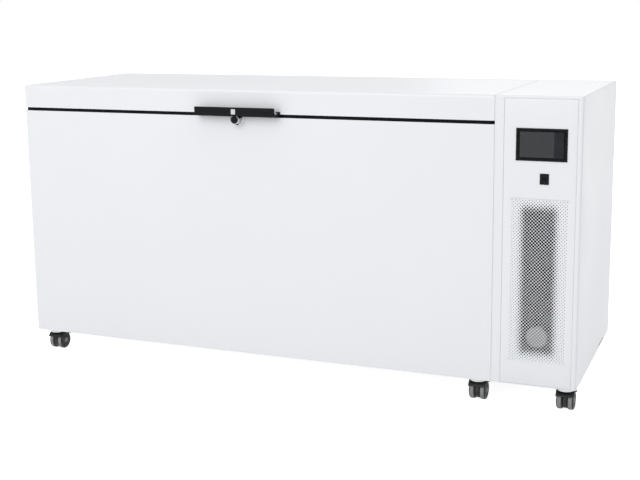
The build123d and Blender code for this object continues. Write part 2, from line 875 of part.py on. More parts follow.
with BuildPart() as data_port:
    with BuildSketch(Plane.XZ.offset(-y_front)):
        with Locations((x_port, z_port)):
            Rectangle(port_width, port_height)
    extrude(amount=port_proud)
    with BuildSketch(Plane.XZ.offset(-y_front)):
        with Locations((x_port, z_port)):
            Rectangle(
                port_width - 2 * port_lip - 2 * fit_gap,
                port_height - 2 * port_lip - 2 * fit_gap,
            )
    extrude(amount=-port_depth)
    with BuildSketch(Plane.XZ.offset(-(y_front - port_proud))):
        with Locations((x_port, z_port)):
            Rectangle(socket_width, socket_height)
    extrude(amount=-socket_depth, mode=Mode.SUBTRACT)
save(data_port.part, "data_port")

# Rear panel with vent slots, the power inlet and its screws
vent_width = 80
vent_height = 7
vent_pitch = 20
vent_columns = 2
vent_rows = 26
vent_gap = 14
vent_lift = 520
inlet_width = 32
inlet_height = 26
inlet_lift = 90
inlet_lip = 4
inlet_depth = 24
inlet_wall = 3
inlet_pocket = 16
rear_left = tower_left + sheet
rear_right = x_right - side_flange - panel_gap
rear_middle = (rear_left + rear_right) / 2
z_rear_low = z_base + front_lift
z_rear_high = z_cover - panel_gap
screw_radius = 4
screw_head = 2
screw_inset = 9
z_inlet = z_base + inlet_lift
y_inlet = y_back + inlet_wall

with BuildPart() as rear_panel:
    with BuildSketch(Plane.XZ.offset(-y_back)):
        with Locations((rear_middle, (z_rear_low + z_rear_high) / 2)):
            Rectangle(rear_right - rear_left, z_rear_high - z_rear_low)
        with Locations((rear_middle, z_base + vent_lift)):
            with GridLocations(vent_width + vent_gap, vent_pitch, vent_columns, vent_rows):
                SlotOverall(vent_width, vent_height, mode=Mode.SUBTRACT)
        with Locations((rear_middle, z_inlet)):
            Rectangle(inlet_width, inlet_height, mode=Mode.SUBTRACT)
    extrude(amount=sheet)
save(rear_panel.part, "rear_panel")

with BuildPart() as power_inlet:
    with BuildSketch(Plane.XZ.offset(-y_inlet)):
        with Locations((rear_middle, z_inlet)):
            Rectangle(inlet_width + 2 * inlet_lip, inlet_height + 2 * inlet_lip)
    extrude(amount=inlet_wall)
    with BuildSketch(Plane.XZ.offset(-y_inlet)):
        with Locations((rear_middle, z_inlet)):
            Rectangle(inlet_width - 2 * fit_gap, inlet_height - 2 * fit_gap)
    extrude(amount=inlet_depth)
    with BuildSketch(Plane.XZ.offset(-y_inlet)):
        with Locations((rear_middle, z_inlet)):
            Rectangle(inlet_width - 2 * inlet_wall, inlet_height - 2 * inlet_wall)
    extrude(amount=inlet_pocket, mode=Mode.SUBTRACT)
save(power_inlet.part, "power_inlet")

with BuildPart() as panel_screws:
    for x in hinge_xs:
        with BuildSketch(Plane.XZ.offset(-(y_back + leaf_thickness))):
            with Locations((x, z_hinge - (hinge_radius + leaf_height) / 2)):
                with GridLocations(hinge_screw_pitch, leaf_height / 3, 2, 2):
                    Circle(screw_radius)
        extrude(amount=-screw_head)
    with BuildSketch(Plane.XZ.offset(-y_back)):
        with Locations((rear_middle, (z_rear_low + z_rear_high) / 2)):
            with GridLocations(
                rear_right - rear_left - 2 * screw_inset,
                (z_rear_high - z_rear_low - 2 * screw_inset) / 4,
                2,
                5,
            ):
                Circle(screw_radius)
    extrude(amount=-screw_head)
save(panel_screws.part, "panel_screws")

# Tower frame of corner angles, with the floor pan and a shelf for the controls
post_size = 18
post_wall = 2
post_front = 20
pan_thickness = 2
shelf_lift = 500
shelf_front = 150
shelf_thickness = 1.5
z_pan = z_deck + pan_thickness
z_shelf = z_deck + shelf_lift
inner_left, inner_right = tower_left + sheet, x_right - sheet
riser_right = 60
riser_back = 95
x_riser = tower_left + riser_right
y_riser = y_back - riser_back
post_y0 = y_front + post_front
post_y1 = y_back - side_corner

with BuildPart() as base_pan:
    with BuildSketch(Plane.XY.offset(z_deck)):
        pan_edges = (inner_left, inner_right, y_front + fold_depth + 2 * sheet, y_back - sheet - fit_gap)
        add(plan(*pan_edges, 0, side_corner))
    extrude(amount=pan_thickness)
save(base_pan.part, "base_pan")

with BuildPart() as tower_frame:
    for x_outer, x_way in ((inner_left, 1), (inner_right, -1)):
        for y_outer, y_way in ((post_y0, 1), (post_y1, -1)):
            xs = sorted((x_outer, x_outer + x_way * post_size))
            ys = sorted((y_outer, y_outer + y_way * post_size))
            thin_x = sorted((x_outer, x_outer + x_way * post_wall))
            thin_y = sorted((y_outer, y_outer + y_way * post_wall))
            block((thin_x[0], ys[0], z_pan), (thin_x[1], ys[1], z_cover))
            block((xs[0], thin_y[0], z_pan), (xs[1], thin_y[1], z_cover))
    for y0, y1 in ((post_y0, post_y0 + post_wall), (post_y1 - post_wall, post_y1)):
        block((inner_left, y0, z_cover - post_size), (inner_right, y1, z_cover))
    for x0, x1 in ((inner_left, inner_left + post_wall), (inner_right - post_wall, inner_right)):
        block((x0, post_y0, z_cover - post_size), (x1, post_y1, z_cover))
    block(
        (inner_left, y_front + shelf_front, z_shelf),
        (inner_right, post_y1 - post_wall, z_shelf + shelf_thickness),
    )
    block(
        (inner_left, y_front + shelf_front, z_shelf - post_size),
        (inner_right, y_front + shelf_front + shelf_thickness, z_shelf),
    )
    with BuildSketch(Plane.XY.offset(z_shelf)):
        with Locations((x_riser, y_riser)):
            Circle(coil_hole_radius)
    extrude(amount=shelf_thickness, mode=Mode.SUBTRACT)
save(tower_frame.part, "tower_frame")

# Two axial fans behind the grille, blowing through the condenser
fan_size = 176
fan_opening = 84
fan_frame_start = 24
fan_frame_depth = 38
fan_low_lift = 158
fan_spacing = 195
shroud_thickness = 2
strut_width = 10
strut_depth = 4
motor_radius = 24
motor_depth = 16
fan_hub_radius = 36
fan_hub_depth = 14
fan_shaft_radius = 3
blade_count = 7
blade_length = 44
blade_chord = 34
blade_thickness = 2
blade_pitch = 30
x_fan = x_grille
fan_zs = (z_base + fan_low_lift, z_base + fan_low_lift + fan_spacing)
y_fan_frame = y_front + fan_frame_start
y_strut = y_fan_frame + fan_frame_depth - strut_depth
y_motor = y_strut - motor_depth
y_hub = y_motor - 2 * sheet

with BuildPart() as fan_frames:
    for z in fan_zs:
        with BuildSketch(Plane.XZ.offset(-(y_fan_frame + fan_frame_depth))):
            with Locations((x_fan, z)):
                RectangleRounded(fan_size, fan_size, side_corner)
                Circle(fan_opening, mode=Mode.SUBTRACT)
        extrude(amount=fan_frame_depth)
        with BuildSketch(Plane.XZ.offset(-(y_strut + strut_depth))):
            with Locations((x_fan, z)):
                Rectangle(fan_size - strut_width, strut_width)
                Rectangle(strut_width, fan_size - strut_width)
                Circle(motor_radius)
        extrude(amount=strut_depth)
    # The shroud closes the space round both fans, in front of the condenser
    with BuildSketch(Plane.XZ.offset(-(y_fan_frame + fan_frame_depth))):
        with Locations((x_grille, z_grille)):
            Rectangle(grille_width, grille_height)
        with Locations(*[(x_fan, z) for z in fan_zs]):
            Circle(fan_opening, mode=Mode.SUBTRACT)
    extrude(amount=shroud_thickness)
save(fan_frames.part, "fan_frames")

with BuildPart() as fan_motors:
    for z in fan_zs:
        with BuildSketch(Plane.XZ.offset(-y_strut)):
            with Locations((x_fan, z)):
                Circle(motor_radius)
        extrude(amount=motor_depth)
        with BuildSketch(Plane.XZ.offset(-y_motor)):
            with Locations((x_fan, z)):
                Circle(fan_shaft_radius)
        extrude(amount=fan_hub_depth / 2)
save(fan_motors.part, "fan_motors")


def make_fan_blades(z):
    with BuildPart() as fan:
        with BuildSketch(Plane.XZ.offset(-y_hub)):
            with Locations((x_fan, z)):
                Circle(fan_hub_radius)
        extrude(amount=fan_hub_depth)
        blade_y = y_hub - fan_hub_depth / 2
        for index in range(blade_count):
            turn = index * 360 / blade_count
            spoke = Vector(0, 0, 1).rotate(Axis.Y, turn)
            across = Vector(1, 0, 0).rotate(Axis.Y, turn)
            chord = across.rotate(Axis((0, 0, 0), spoke), blade_pitch)
            root = Vector(x_fan, blade_y, z) + spoke * (fan_hub_radius - 2 * sheet)
            with BuildSketch(Plane(origin=root, x_dir=chord, z_dir=spoke)):
                Rectangle(blade_chord, blade_thickness)
            extrude(amount=blade_length)
        with BuildSketch(Plane.XZ.offset(-y_hub)):
            with Locations((x_fan, z)):
                Circle(fan_shaft_radius + running_gap)
        extrude(amount=fan_hub_depth / 2 + sheet, mode=Mode.SUBTRACT)
    return fan.part


save(make_fan_blades(fan_zs[0]), "fan_blades_lower")
save(make_fan_blades(fan_zs[1]), "fan_blades_upper")

# Condenser: upright fins on one tube that runs to and fro
condenser_depth = 40
condenser_low = 70
condenser_height = 540
fin_count = 22
fin_thickness = 0.8
end_plate = 2
tube_radius = 4.75
tube_rows = 8
condenser_width = 190
tube_pitch = condenser_height / tube_rows
bend_reach = tube_pitch / 2
x_cond_left = x_fan - condenser_width / 2
x_cond_right = x_fan + condenser_width / 2
y_cond = y_fan_frame + fan_frame_depth
y_tubes = y_cond + condenser_depth / 2
z_cond = z_base + condenser_low
row_zs = [z_cond + (row + 0.5) * tube_pitch for row in range(tube_rows)]
fin_step = (condenser_width - end_plate) / (fin_count - 1)
tube_bend = 12
tube_exit = 24
tube_lead = 45


def fin(x, thickness, foot):
    with BuildPart() as plate:
        with BuildSketch(Plane.YZ.offset(x)):
            with Locations((y_tubes, foot)):
                height = z_cond + condenser_height - foot
                Rectangle(condenser_depth, height, align=(Align.CENTER, Align.MIN))
            with Locations(*[(y_tubes, z) for z in row_zs]):
                Circle(tube_radius + fit_gap, mode=Mode.SUBTRACT)
        extrude(amount=thickness)
    return plate.part


with BuildPart() as condenser_fins:
    for index in range(1, fin_count - 1):
        add(fin(x_cond_left + index * fin_step, fin_thickness, z_cond))
    add(fin(x_cond_left, end_plate, z_pan))
    add(fin(x_cond_right - end_plate, end_plate, z_pan))
    for z in (z_cond - end_plate, z_cond + condenser_height):
        block((x_cond_left, y_cond, z), (x_cond_right, y_cond + condenser_depth, z + end_plate))
save(condenser_fins.part, "condenser_fins")

x_lead = x_cond_left - tube_exit
y_lead = y_tubes + tube_lead
serpentine = [(x_lead, y_lead, row_zs[0]), (x_lead, y_tubes, row_zs[0])]
for row, z in enumerate(row_zs):
    near_x, far_x = x_lead, x_cond_right + tube_exit
    if row % 2 == 1:
        near_x, far_x = far_x, near_x
    if row > 0:
        serpentine.append((near_x, y_tubes, z))
    serpentine.append((far_x, y_tubes, z))
serpentine.append((x_lead, y_lead, row_zs[-1]))
condenser_tube = pipe(serpentine, tube_radius, tube_bend)
save(condenser_tube, "condenser_tubes")

# Two hermetic compressors on rubber feet
shell_radius = 92
shell_height = 240
shell_dome = 30
shell_wall = 10
foot_thickness = 3
foot_length = 200
foot_width = 150
foot_pitch_x = 160
foot_pitch_y = 110
foot_radius = 14
foot_height = 20
terminal_width = 50
terminal_height = 60
terminal_depth = 20
compressor_offset = 115
compressor_shares = (0.37, 0.71)
port_stub_height = 20
x_comp = tower_left + compressor_offset
comp_ys = [y_front + share * body_depth for share in compressor_shares]
z_foot = z_pan + foot_height
z_shell = z_foot + foot_thickness
z_shell_top = z_shell + shell_height


def make_compressor(y):
    with BuildPart() as compressor:
        with BuildSketch(Plane.XY.offset(z_shell)):
            with Locations((x_comp, y)):
                Circle(shell_radius)
        extrude(amount=shell_height)
        fillet(compressor.faces().sort_by(Axis.Z)[-1].edges(), radius=shell_dome)
        with BuildSketch(Plane.XY.offset(z_foot)):
            with Locations((x_comp, y)):
                RectangleRounded(foot_length, foot_width, foot_radius)
        extrude(amount=foot_thickness)
        with BuildSketch(Plane.XY.offset(z_shell_top - foot_thickness)):
            with Locations((x_comp, y)):
                Circle(coil_radius)
        extrude(amount=port_stub_height)
        with BuildSketch(Plane.XY.offset(z_shell + shell_wall)):
            with Locations((x_comp, y)):
                Circle(shell_radius - shell_wall)
        extrude(amount=shell_height - shell_dome - shell_wall, mode=Mode.SUBTRACT)
        block(
            (x_comp + shell_radius - shell_wall, y - terminal_width / 2, z_shell + shell_height / 3),
            (
                x_comp + shell_radius + terminal_depth,
                y + terminal_width / 2,
                z_shell + shell_height / 3 + terminal_height,
            ),
        )
    return compressor.part


with BuildPart() as compressors:
    for y in comp_ys:
        add(make_compressor(y))
save(compressors.part, "compressors")

with BuildPart() as compressor_feet:
    with BuildSketch(Plane.XY.offset(z_pan)):
        for y in comp_ys:
            with Locations((x_comp, y)):
                with GridLocations(foot_pitch_x, foot_pitch_y, 2, 2):
                    Circle(foot_radius)
    extrude(amount=foot_height)
save(compressor_feet.part, "compressor_feet")

# Oil separator and two filter driers beside the compressors
vessel_radius = 22
separator_height = 220
drier_height = 130
vessel_neck = 12
vessel_fold = 10
vessel_inset = 34
x_vessel = x_right - vessel_inset
y_between = (comp_ys[0] + comp_ys[1]) / 2
vessel_step = 56
vessel_rows = (
    (y_between, separator_height),
    (y_between - vessel_step, drier_height),
    (y_between + vessel_step, drier_height),
)
with BuildPart() as refrigerant_vessels:
    for y, height in vessel_rows:
        with BuildSketch(Plane.XY.offset(z_pan)):
            with Locations((x_vessel, y)):
                Circle(coil_radius + sheet)
        extrude(amount=height + 2 * vessel_neck)
        with BuildPart(mode=Mode.PRIVATE) as shell_can:
            with BuildSketch(Plane.XY.offset(z_pan + vessel_neck)):
                with Locations((x_vessel, y)):
                    Circle(vessel_radius)
            extrude(amount=height)
            fillet(shell_can.edges().filter_by(GeomType.CIRCLE), radius=vessel_fold)
        add(shell_can.part)
save(refrigerant_vessels.part, "refrigerant_vessels")

# Cascade heat exchanger and the control box on the shelf
exchanger_width = 110
exchanger_depth = 150
exchanger_height = 260
exchanger_edge = 12
exchanger_gap = 20
control_width = 170
control_depth = 230
control_height = 170
control_wall = 1.5
board_thickness = 2
board_lift = 12
board_gap = 10
z_store = z_shelf + shelf_thickness
x_exchanger = inner_left + exchanger_gap + exchanger_width / 2
y_exchanger = post_y1 - post_size - exchanger_gap - exchanger_depth / 2
y_control = y_front + shelf_front + exchanger_gap + control_depth / 2
x_control = (inner_left + inner_right) / 2

with BuildPart() as cascade_exchanger:
    with BuildSketch(Plane.XY.offset(z_store)):
        with Locations((x_exchanger, y_exchanger)):
            RectangleRounded(exchanger_width, exchanger_depth, exchanger_edge)
    extrude(amount=exchanger_height)
save(cascade_exchanger.part, "cascade_exchanger")

with BuildPart() as control_box:
    with BuildSketch(Plane.XY.offset(z_store)):
        with Locations((x_control, y_control)):
            Rectangle(control_width, control_depth)
    extrude(amount=control_height)
    offset(amount=-control_wall, openings=control_box.faces().sort_by(Axis.Z)[-1])
save(control_box.part, "control_box")

with BuildPart() as control_board:
    with BuildSketch(Plane.XY.offset(z_store + control_wall + board_lift)):
        with Locations((x_control, y_control)):
            Rectangle(control_width - 2 * board_gap, control_depth - 2 * board_gap)
    extrude(amount=board_thickness)
    with BuildSketch(Plane.XY.offset(z_store + control_wall)):
        with Locations((x_control, y_control)):
            with GridLocations(
                control_width - 4 * board_gap, control_depth - 4 * board_gap, 2, 2
            ):
                Circle(board_thickness)
    extrude(amount=board_lift)
    with BuildSketch(Plane.XY.offset(z_store + control_wall + board_lift + board_thickness)):
        with Locations((x_control, y_control)):
            with GridLocations(control_width / 3, control_depth / 4, 2, 3):
                Rectangle(control_width / 5, control_depth / 8)
    extrude(amount=board_lift)
save(control_board.part, "control_board")

# Refrigerant pipes between the machines
pipe_bend = 12
pipe_arch = 40
pipe_behind = 23
pipe_right = 29
pipe_under_shelf = 60
stub_top = z_shell_top - foot_thickness + port_stub_height
neck_top = z_pan + 2 * vessel_neck
y_drier = y_between - vessel_step
z_return = z_shelf - pipe_under_shelf
pipe_routes = (
    (
        (x_comp, comp_ys[0], stub_top),
        (x_comp, comp_ys[0], stub_top + pipe_arch),
        (x_comp, y_between, stub_top + pipe_arch),
        (x_vessel, y_between, stub_top + pipe_arch),
        (x_vessel, y_between, neck_top + separator_height),
    ),
    (
        (x_lead, y_lead, row_zs[-1]),
        (x_lead, y_control + control_depth / 2 + pipe_arch, row_zs[-1]),
        (x_exchanger, y_control + control_depth / 2 + pipe_arch, row_zs[-1]),
        (x_exchanger, y_exchanger - exchanger_depth / 2, row_zs[-1]),
    ),
    (
        (x_lead, y_lead, row_zs[0]),
        (x_lead, y_lead + pipe_behind, row_zs[0]),
        (x_vessel, y_lead + pipe_behind, row_zs[0]),
        (x_vessel, y_lead + pipe_behind, neck_top + drier_height + pipe_arch),
        (x_vessel, y_drier, neck_top + drier_height + pipe_arch),
        (x_vessel, y_drier, neck_top + drier_height),
    ),
    (
        (x_coil_end, coil_back, z_coil),
        (x_riser, coil_back, z_coil),
        (x_riser, y_riser, z_coil),
        (x_riser, y_riser, z_store),
    ),
    (
        (x_coil_end, coil_front, z_coil_end),
        (x_coil_end + pipe_right, coil_front, z_coil_end),
        (x_coil_end + pipe_right, coil_front, z_return),
        (x_coil_end + pipe_right, comp_ys[1], z_return),
        (x_comp, comp_ys[1], z_return),
        (x_comp, comp_ys[1], stub_top),
    ),
)
with BuildPart() as refrigerant_pipes:
    for route in pipe_routes:
        add(pipe(route, coil_radius, pipe_bend))
save(refrigerant_pipes.part, "refrigerant_pipes")
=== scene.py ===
import json
import math

import bmesh
import bpy
from mathutils import Matrix, Vector


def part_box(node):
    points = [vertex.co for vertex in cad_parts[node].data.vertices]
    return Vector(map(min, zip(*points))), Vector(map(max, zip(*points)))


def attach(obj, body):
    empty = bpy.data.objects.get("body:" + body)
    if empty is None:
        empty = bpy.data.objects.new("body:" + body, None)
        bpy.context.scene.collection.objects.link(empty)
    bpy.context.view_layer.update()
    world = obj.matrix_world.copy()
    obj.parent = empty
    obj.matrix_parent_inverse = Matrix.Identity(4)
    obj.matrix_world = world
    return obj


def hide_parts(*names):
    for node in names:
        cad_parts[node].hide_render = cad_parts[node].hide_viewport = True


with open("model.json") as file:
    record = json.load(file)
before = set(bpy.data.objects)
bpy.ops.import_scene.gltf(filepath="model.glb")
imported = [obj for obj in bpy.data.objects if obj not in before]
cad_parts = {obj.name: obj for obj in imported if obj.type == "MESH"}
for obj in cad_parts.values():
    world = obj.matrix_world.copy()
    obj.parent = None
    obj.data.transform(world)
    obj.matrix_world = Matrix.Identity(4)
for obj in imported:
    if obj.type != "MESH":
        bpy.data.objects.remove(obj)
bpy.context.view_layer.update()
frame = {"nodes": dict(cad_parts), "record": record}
scene = bpy.context.scene
mm = 0.001
print("frame loaded,", len(frame["nodes"]), "nodes")


# A linked object for a mesh, lamp or camera
def linked(name, data):
    item = bpy.data.objects.new(name, data)
    scene.collection.objects.link(item)
    return item


# Each keyword is a socket's name, or an i and its number
def feed(tree, node, **feeds):
    for label, value in feeds.items():
        socket = node.inputs[int(label[1:]) if label[1:].isdigit() else label.replace("_", " ")]
        if isinstance(value, bpy.types.NodeSocket):
            tree.links.new(value, socket)
        else:
            socket.default_value = value


def addNode(tree, kind, settings=(), **feeds):
    node = tree.nodes.new(kind)
    for key, value in dict(settings).items():
        setattr(node, key, value)
    feed(tree, node, **feeds)
    return node


# What a new node puts out first
def nodeOut(tree, kind, settings=(), **feeds):
    return addNode(tree, kind, settings, **feeds).outputs[0]


def nodeMath(tree, operation, first, second=0.0):
    return nodeOut(tree, "ShaderNodeMath", {"operation": operation}, i0=first, i1=second)


def times(tree, first, second):
    return nodeMath(tree, "MULTIPLY", first, second)


def component(tree, axis, vector):
    return addNode(tree, "ShaderNodeSeparateXYZ", i0=vector).outputs[axis]


def mapRange(tree, value, low, high, toLow=0.0, toHigh=1.0, curve="LINEAR"):
    return nodeOut(
        tree, "ShaderNodeMapRange", {"interpolation_type": curve}, Value=value, From_Min=low, From_Max=high,
        To_Min=toLow, To_Max=toHigh,
    )


# Camera, light and floor
room = {
    "cameraPlace": (1.6021, -3.8853, 1.3365),
    "cameraHeading": 22.084,
    "cameraTilt": 79.69,
    "cameraRoll": -0.654,
    "lens": 63.46,
    "shift": (-0.0042, -0.0531),
    "floorHalf": 30.0,
    "floorShade": (0.74, 0.74, 0.74),
    "floorGlow": 0.84,
    "roomLight": 0.75,
    "roomTint": (0.98, 0.99, 1.0),
    "lampAim": (0.0, 0.0, 0.45),
}
lamps = (
    # name, place, size, watts, tint
    ("keyLamp", (-0.8, -5.1, 3.3), 3.4, 107, (1.0, 0.997, 0.99)),
    ("sideLamp", (4.6, -1.2, 2.6), 2.6, 3, (0.98, 0.99, 1.0)),
    ("backLamp", (0.4, 4.4, 3.2), 3.0, 19, (1.0, 1.0, 1.0)),
    ("rearFill", (0.0, 5.6, 0.5), 0.9, 24, (1.0, 1.0, 1.0)),
    ("leftFill", (-5.6, 0.6, 0.5), 0.9, 24, (1.0, 1.0, 1.0)),
)


def placeCamera():
    data = bpy.data.cameras.new("camera")
    data.lens = room["lens"]
    data.shift_x, data.shift_y = room["shift"]
    camera = linked("camera", data)
    turns = (("cameraHeading", "Z"), ("cameraTilt", "X"), ("cameraRoll", "Z"))
    heading, tilt, roll = (Matrix.Rotation(math.radians(room[key]), 4, axis) for key, axis in turns)
    camera.matrix_world = Matrix.Translation(room["cameraPlace"]) @ heading @ tilt @ roll
    scene.camera = camera


def placeLamps():
    for name, place, size, watts, tint in lamps:
        data = bpy.data.lights.new(name, "AREA")
        data.size, data.energy, data.color = size, watts, tint
        lamp = linked(name, data)
        lamp.location = place
        aim = Vector(room["lampAim"]) - Vector(place)
        lamp.rotation_euler = aim.to_track_quat("-Z", "Y").to_euler()


def seenDirectly(tree):
    rays = addNode(tree, "ShaderNodeLightPath").outputs
    mirrored = nodeMath(tree, "MAXIMUM", rays["Is Glossy Ray"], rays["Is Transmission Ray"])
    return nodeMath(tree, "MAXIMUM", rays["Is Camera Ray"], mirrored)


def newMaterial(name):
    material = bpy.data.materials.new(name)
    material.use_nodes = True
    return material, material.node_tree, material.node_tree.nodes["Principled BSDF"]


def placeRoom():
    world = bpy.data.worlds.new("paleRoom")
    world.use_nodes = True
    tree = world.node_tree
    light = tree.nodes["Background"]
    feed(tree, light, Color=(*room["roomTint"], 1), Strength=room["roomLight"])
    wall = nodeOut(tree, "ShaderNodeBackground", Color=(1, 1, 1, 1))
    choice = nodeOut(tree, "ShaderNodeMixShader", i0=seenDirectly(tree), i1=light.outputs[0], i2=wall)
    feed(tree, tree.nodes["World Output"], Surface=choice)
    scene.world = world

    half = room["floorHalf"]
    mesh = bpy.data.meshes.new("floor")
    corners = ((-half, -half, 0), (half, -half, 0), (half, half, 0), (-half, half, 0))
    mesh.from_pydata(corners, [], [(0, 1, 2, 3)])
    linked("floor", mesh)
    material, tree, shader = newMaterial("paleFloor")
    tree.nodes.remove(shader)
    matt = nodeOut(tree, "ShaderNodeBsdfDiffuse", Color=(*room["floorShade"], 1))
    glow = nodeOut(tree, "ShaderNodeEmission", Strength=times(tree, seenDirectly(tree), room["floorGlow"]))
    feed(tree, tree.nodes["Material Output"], Surface=nodeOut(tree, "ShaderNodeAddShader", i0=matt, i1=glow))
    mesh.materials.append(material)


placeCamera()
placeLamps()
placeRoom()
scene.view_settings.view_transform = "Standard"
print("camera, lamps and floor placed")


# Shader groups that the finishes share: each takes a place and some numbers, and gives masks
def shaderGroup(name, numbers, outputs):
    tree = bpy.data.node_groups.new(name, "ShaderNodeTree")
    tree.interface.new_socket("Vector", in_out="INPUT", socket_type="NodeSocketVector")
    for label, value in numbers.items():
        socket = tree.interface.new_socket(label, in_out="INPUT", socket_type="NodeSocketFloat")
        socket.default_value = value
    for label in outputs:
        tree.interface.new_socket(label, in_out="OUTPUT", socket_type="NodeSocketFloat")
    return tree, tree.nodes.new("NodeGroupInput").outputs, tree.nodes.new("NodeGroupOutput")


def noise(tree, vector, scale, detail, bend=0.0):
    return nodeOut(tree, "ShaderNodeTexNoise", Vector=vector, Scale=scale, Detail=detail, Distortion=bend)


def mixColours(tree, factor, first, second):
    return addNode(tree, "ShaderNodeMix", {"data_type": "RGBA"}, i0=factor, i6=first, i7=second).outputs[2]


# Fine grain, coarse patches and a height for the bump
grain = {"fineDetail": 2.0, "coarseDetail": 4.0, "bend": 0.3, "patchEdges": (0.34, 0.66), "patchShare": 0.65}


def buildSurfaceGrain():
    numbers = {"Fine Scale": 400.0, "Coarse Scale": 3.0}
    tree, given, end = shaderGroup("surfaceGrain", numbers, ("Tone", "Height", "Patch"))
    fine = noise(tree, given["Vector"], given["Fine Scale"], grain["fineDetail"])
    coarse = noise(tree, given["Vector"], given["Coarse Scale"], grain["coarseDetail"], grain["bend"])
    patch = mapRange(tree, coarse, *grain["patchEdges"])
    share = grain["patchShare"]
    tone = nodeMath(tree, "ADD", times(tree, patch, share), times(tree, fine, 1 - share))
    feed(tree, end, Tone=tone, Height=fine, Patch=patch)
    return tree


# Thin scuffs in two directions, where hands, feet and mops pass
scuff = {
    "stretches": ((1.0, 1.0, 34.0), (26.0, 26.0, 1.4)),
    "turn": (0.2, 0.35, 0.1),
    "lineDetail": 3.0,
    "lineEdges": (0.66, 0.72),
    "patchNoise": (2.3, 2.0),  # scale, detail
    "patchEdges": (0.5, 0.7),
}


def buildHandlingScuffs():
    tree, given, end = shaderGroup("handlingScuffs", {"Density": 0.5, "Scale": 6.0}, ("Mask",))
    lines = []
    for stretch in scuff["stretches"]:
        turned = nodeOut(
            tree, "ShaderNodeMapping", Vector=given["Vector"], Scale=stretch, Rotation=scuff["turn"],
        )
        line = noise(tree, turned, given["Scale"], scuff["lineDetail"])
        lines.append(mapRange(tree, line, *scuff["lineEdges"]))
    patch = mapRange(tree, noise(tree, given["Vector"], *scuff["patchNoise"]), *scuff["patchEdges"])
    mask = times(tree, nodeMath(tree, "MAXIMUM", *lines), patch)
    feed(tree, end, Mask=times(tree, mask, given["Density"]))
    return tree


# Dust that settles on what faces up and near the floor
dust = {"upEdges": (0.3, 0.95), "upShare": 0.45, "cloudNoise": (14.0, 5.0), "cloudEdges": (0.3, 0.75)}


def buildDustFilm():
    tree, given, end = shaderGroup("dustFilm", {"Amount": 0.2, "Reach": 0.3}, ("Mask",))
    normal = addNode(tree, "ShaderNodeNewGeometry").outputs["Normal"]
    up = times(tree, mapRange(tree, component(tree, "Z", normal), *dust["upEdges"]), dust["upShare"])
    height = nodeMath(tree, "DIVIDE", component(tree, "Z", given["Vector"]), given["Reach"])
    low = mapRange(tree, nodeMath(tree, "SUBTRACT", 1.0, height), 0.0, 1.0)
    cloud = mapRange(tree, noise(tree, given["Vector"], *dust["cloudNoise"]), *dust["cloudEdges"])
    mask = times(tree, nodeMath(tree, "MAXIMUM", up, low), cloud)
    feed(tree, end, Mask=times(tree, mask, given["Amount"]))
    return tree


surfaceGrain = buildSurfaceGrain()
handlingScuffs = buildHandlingScuffs()
dustFilm = buildDustFilm()

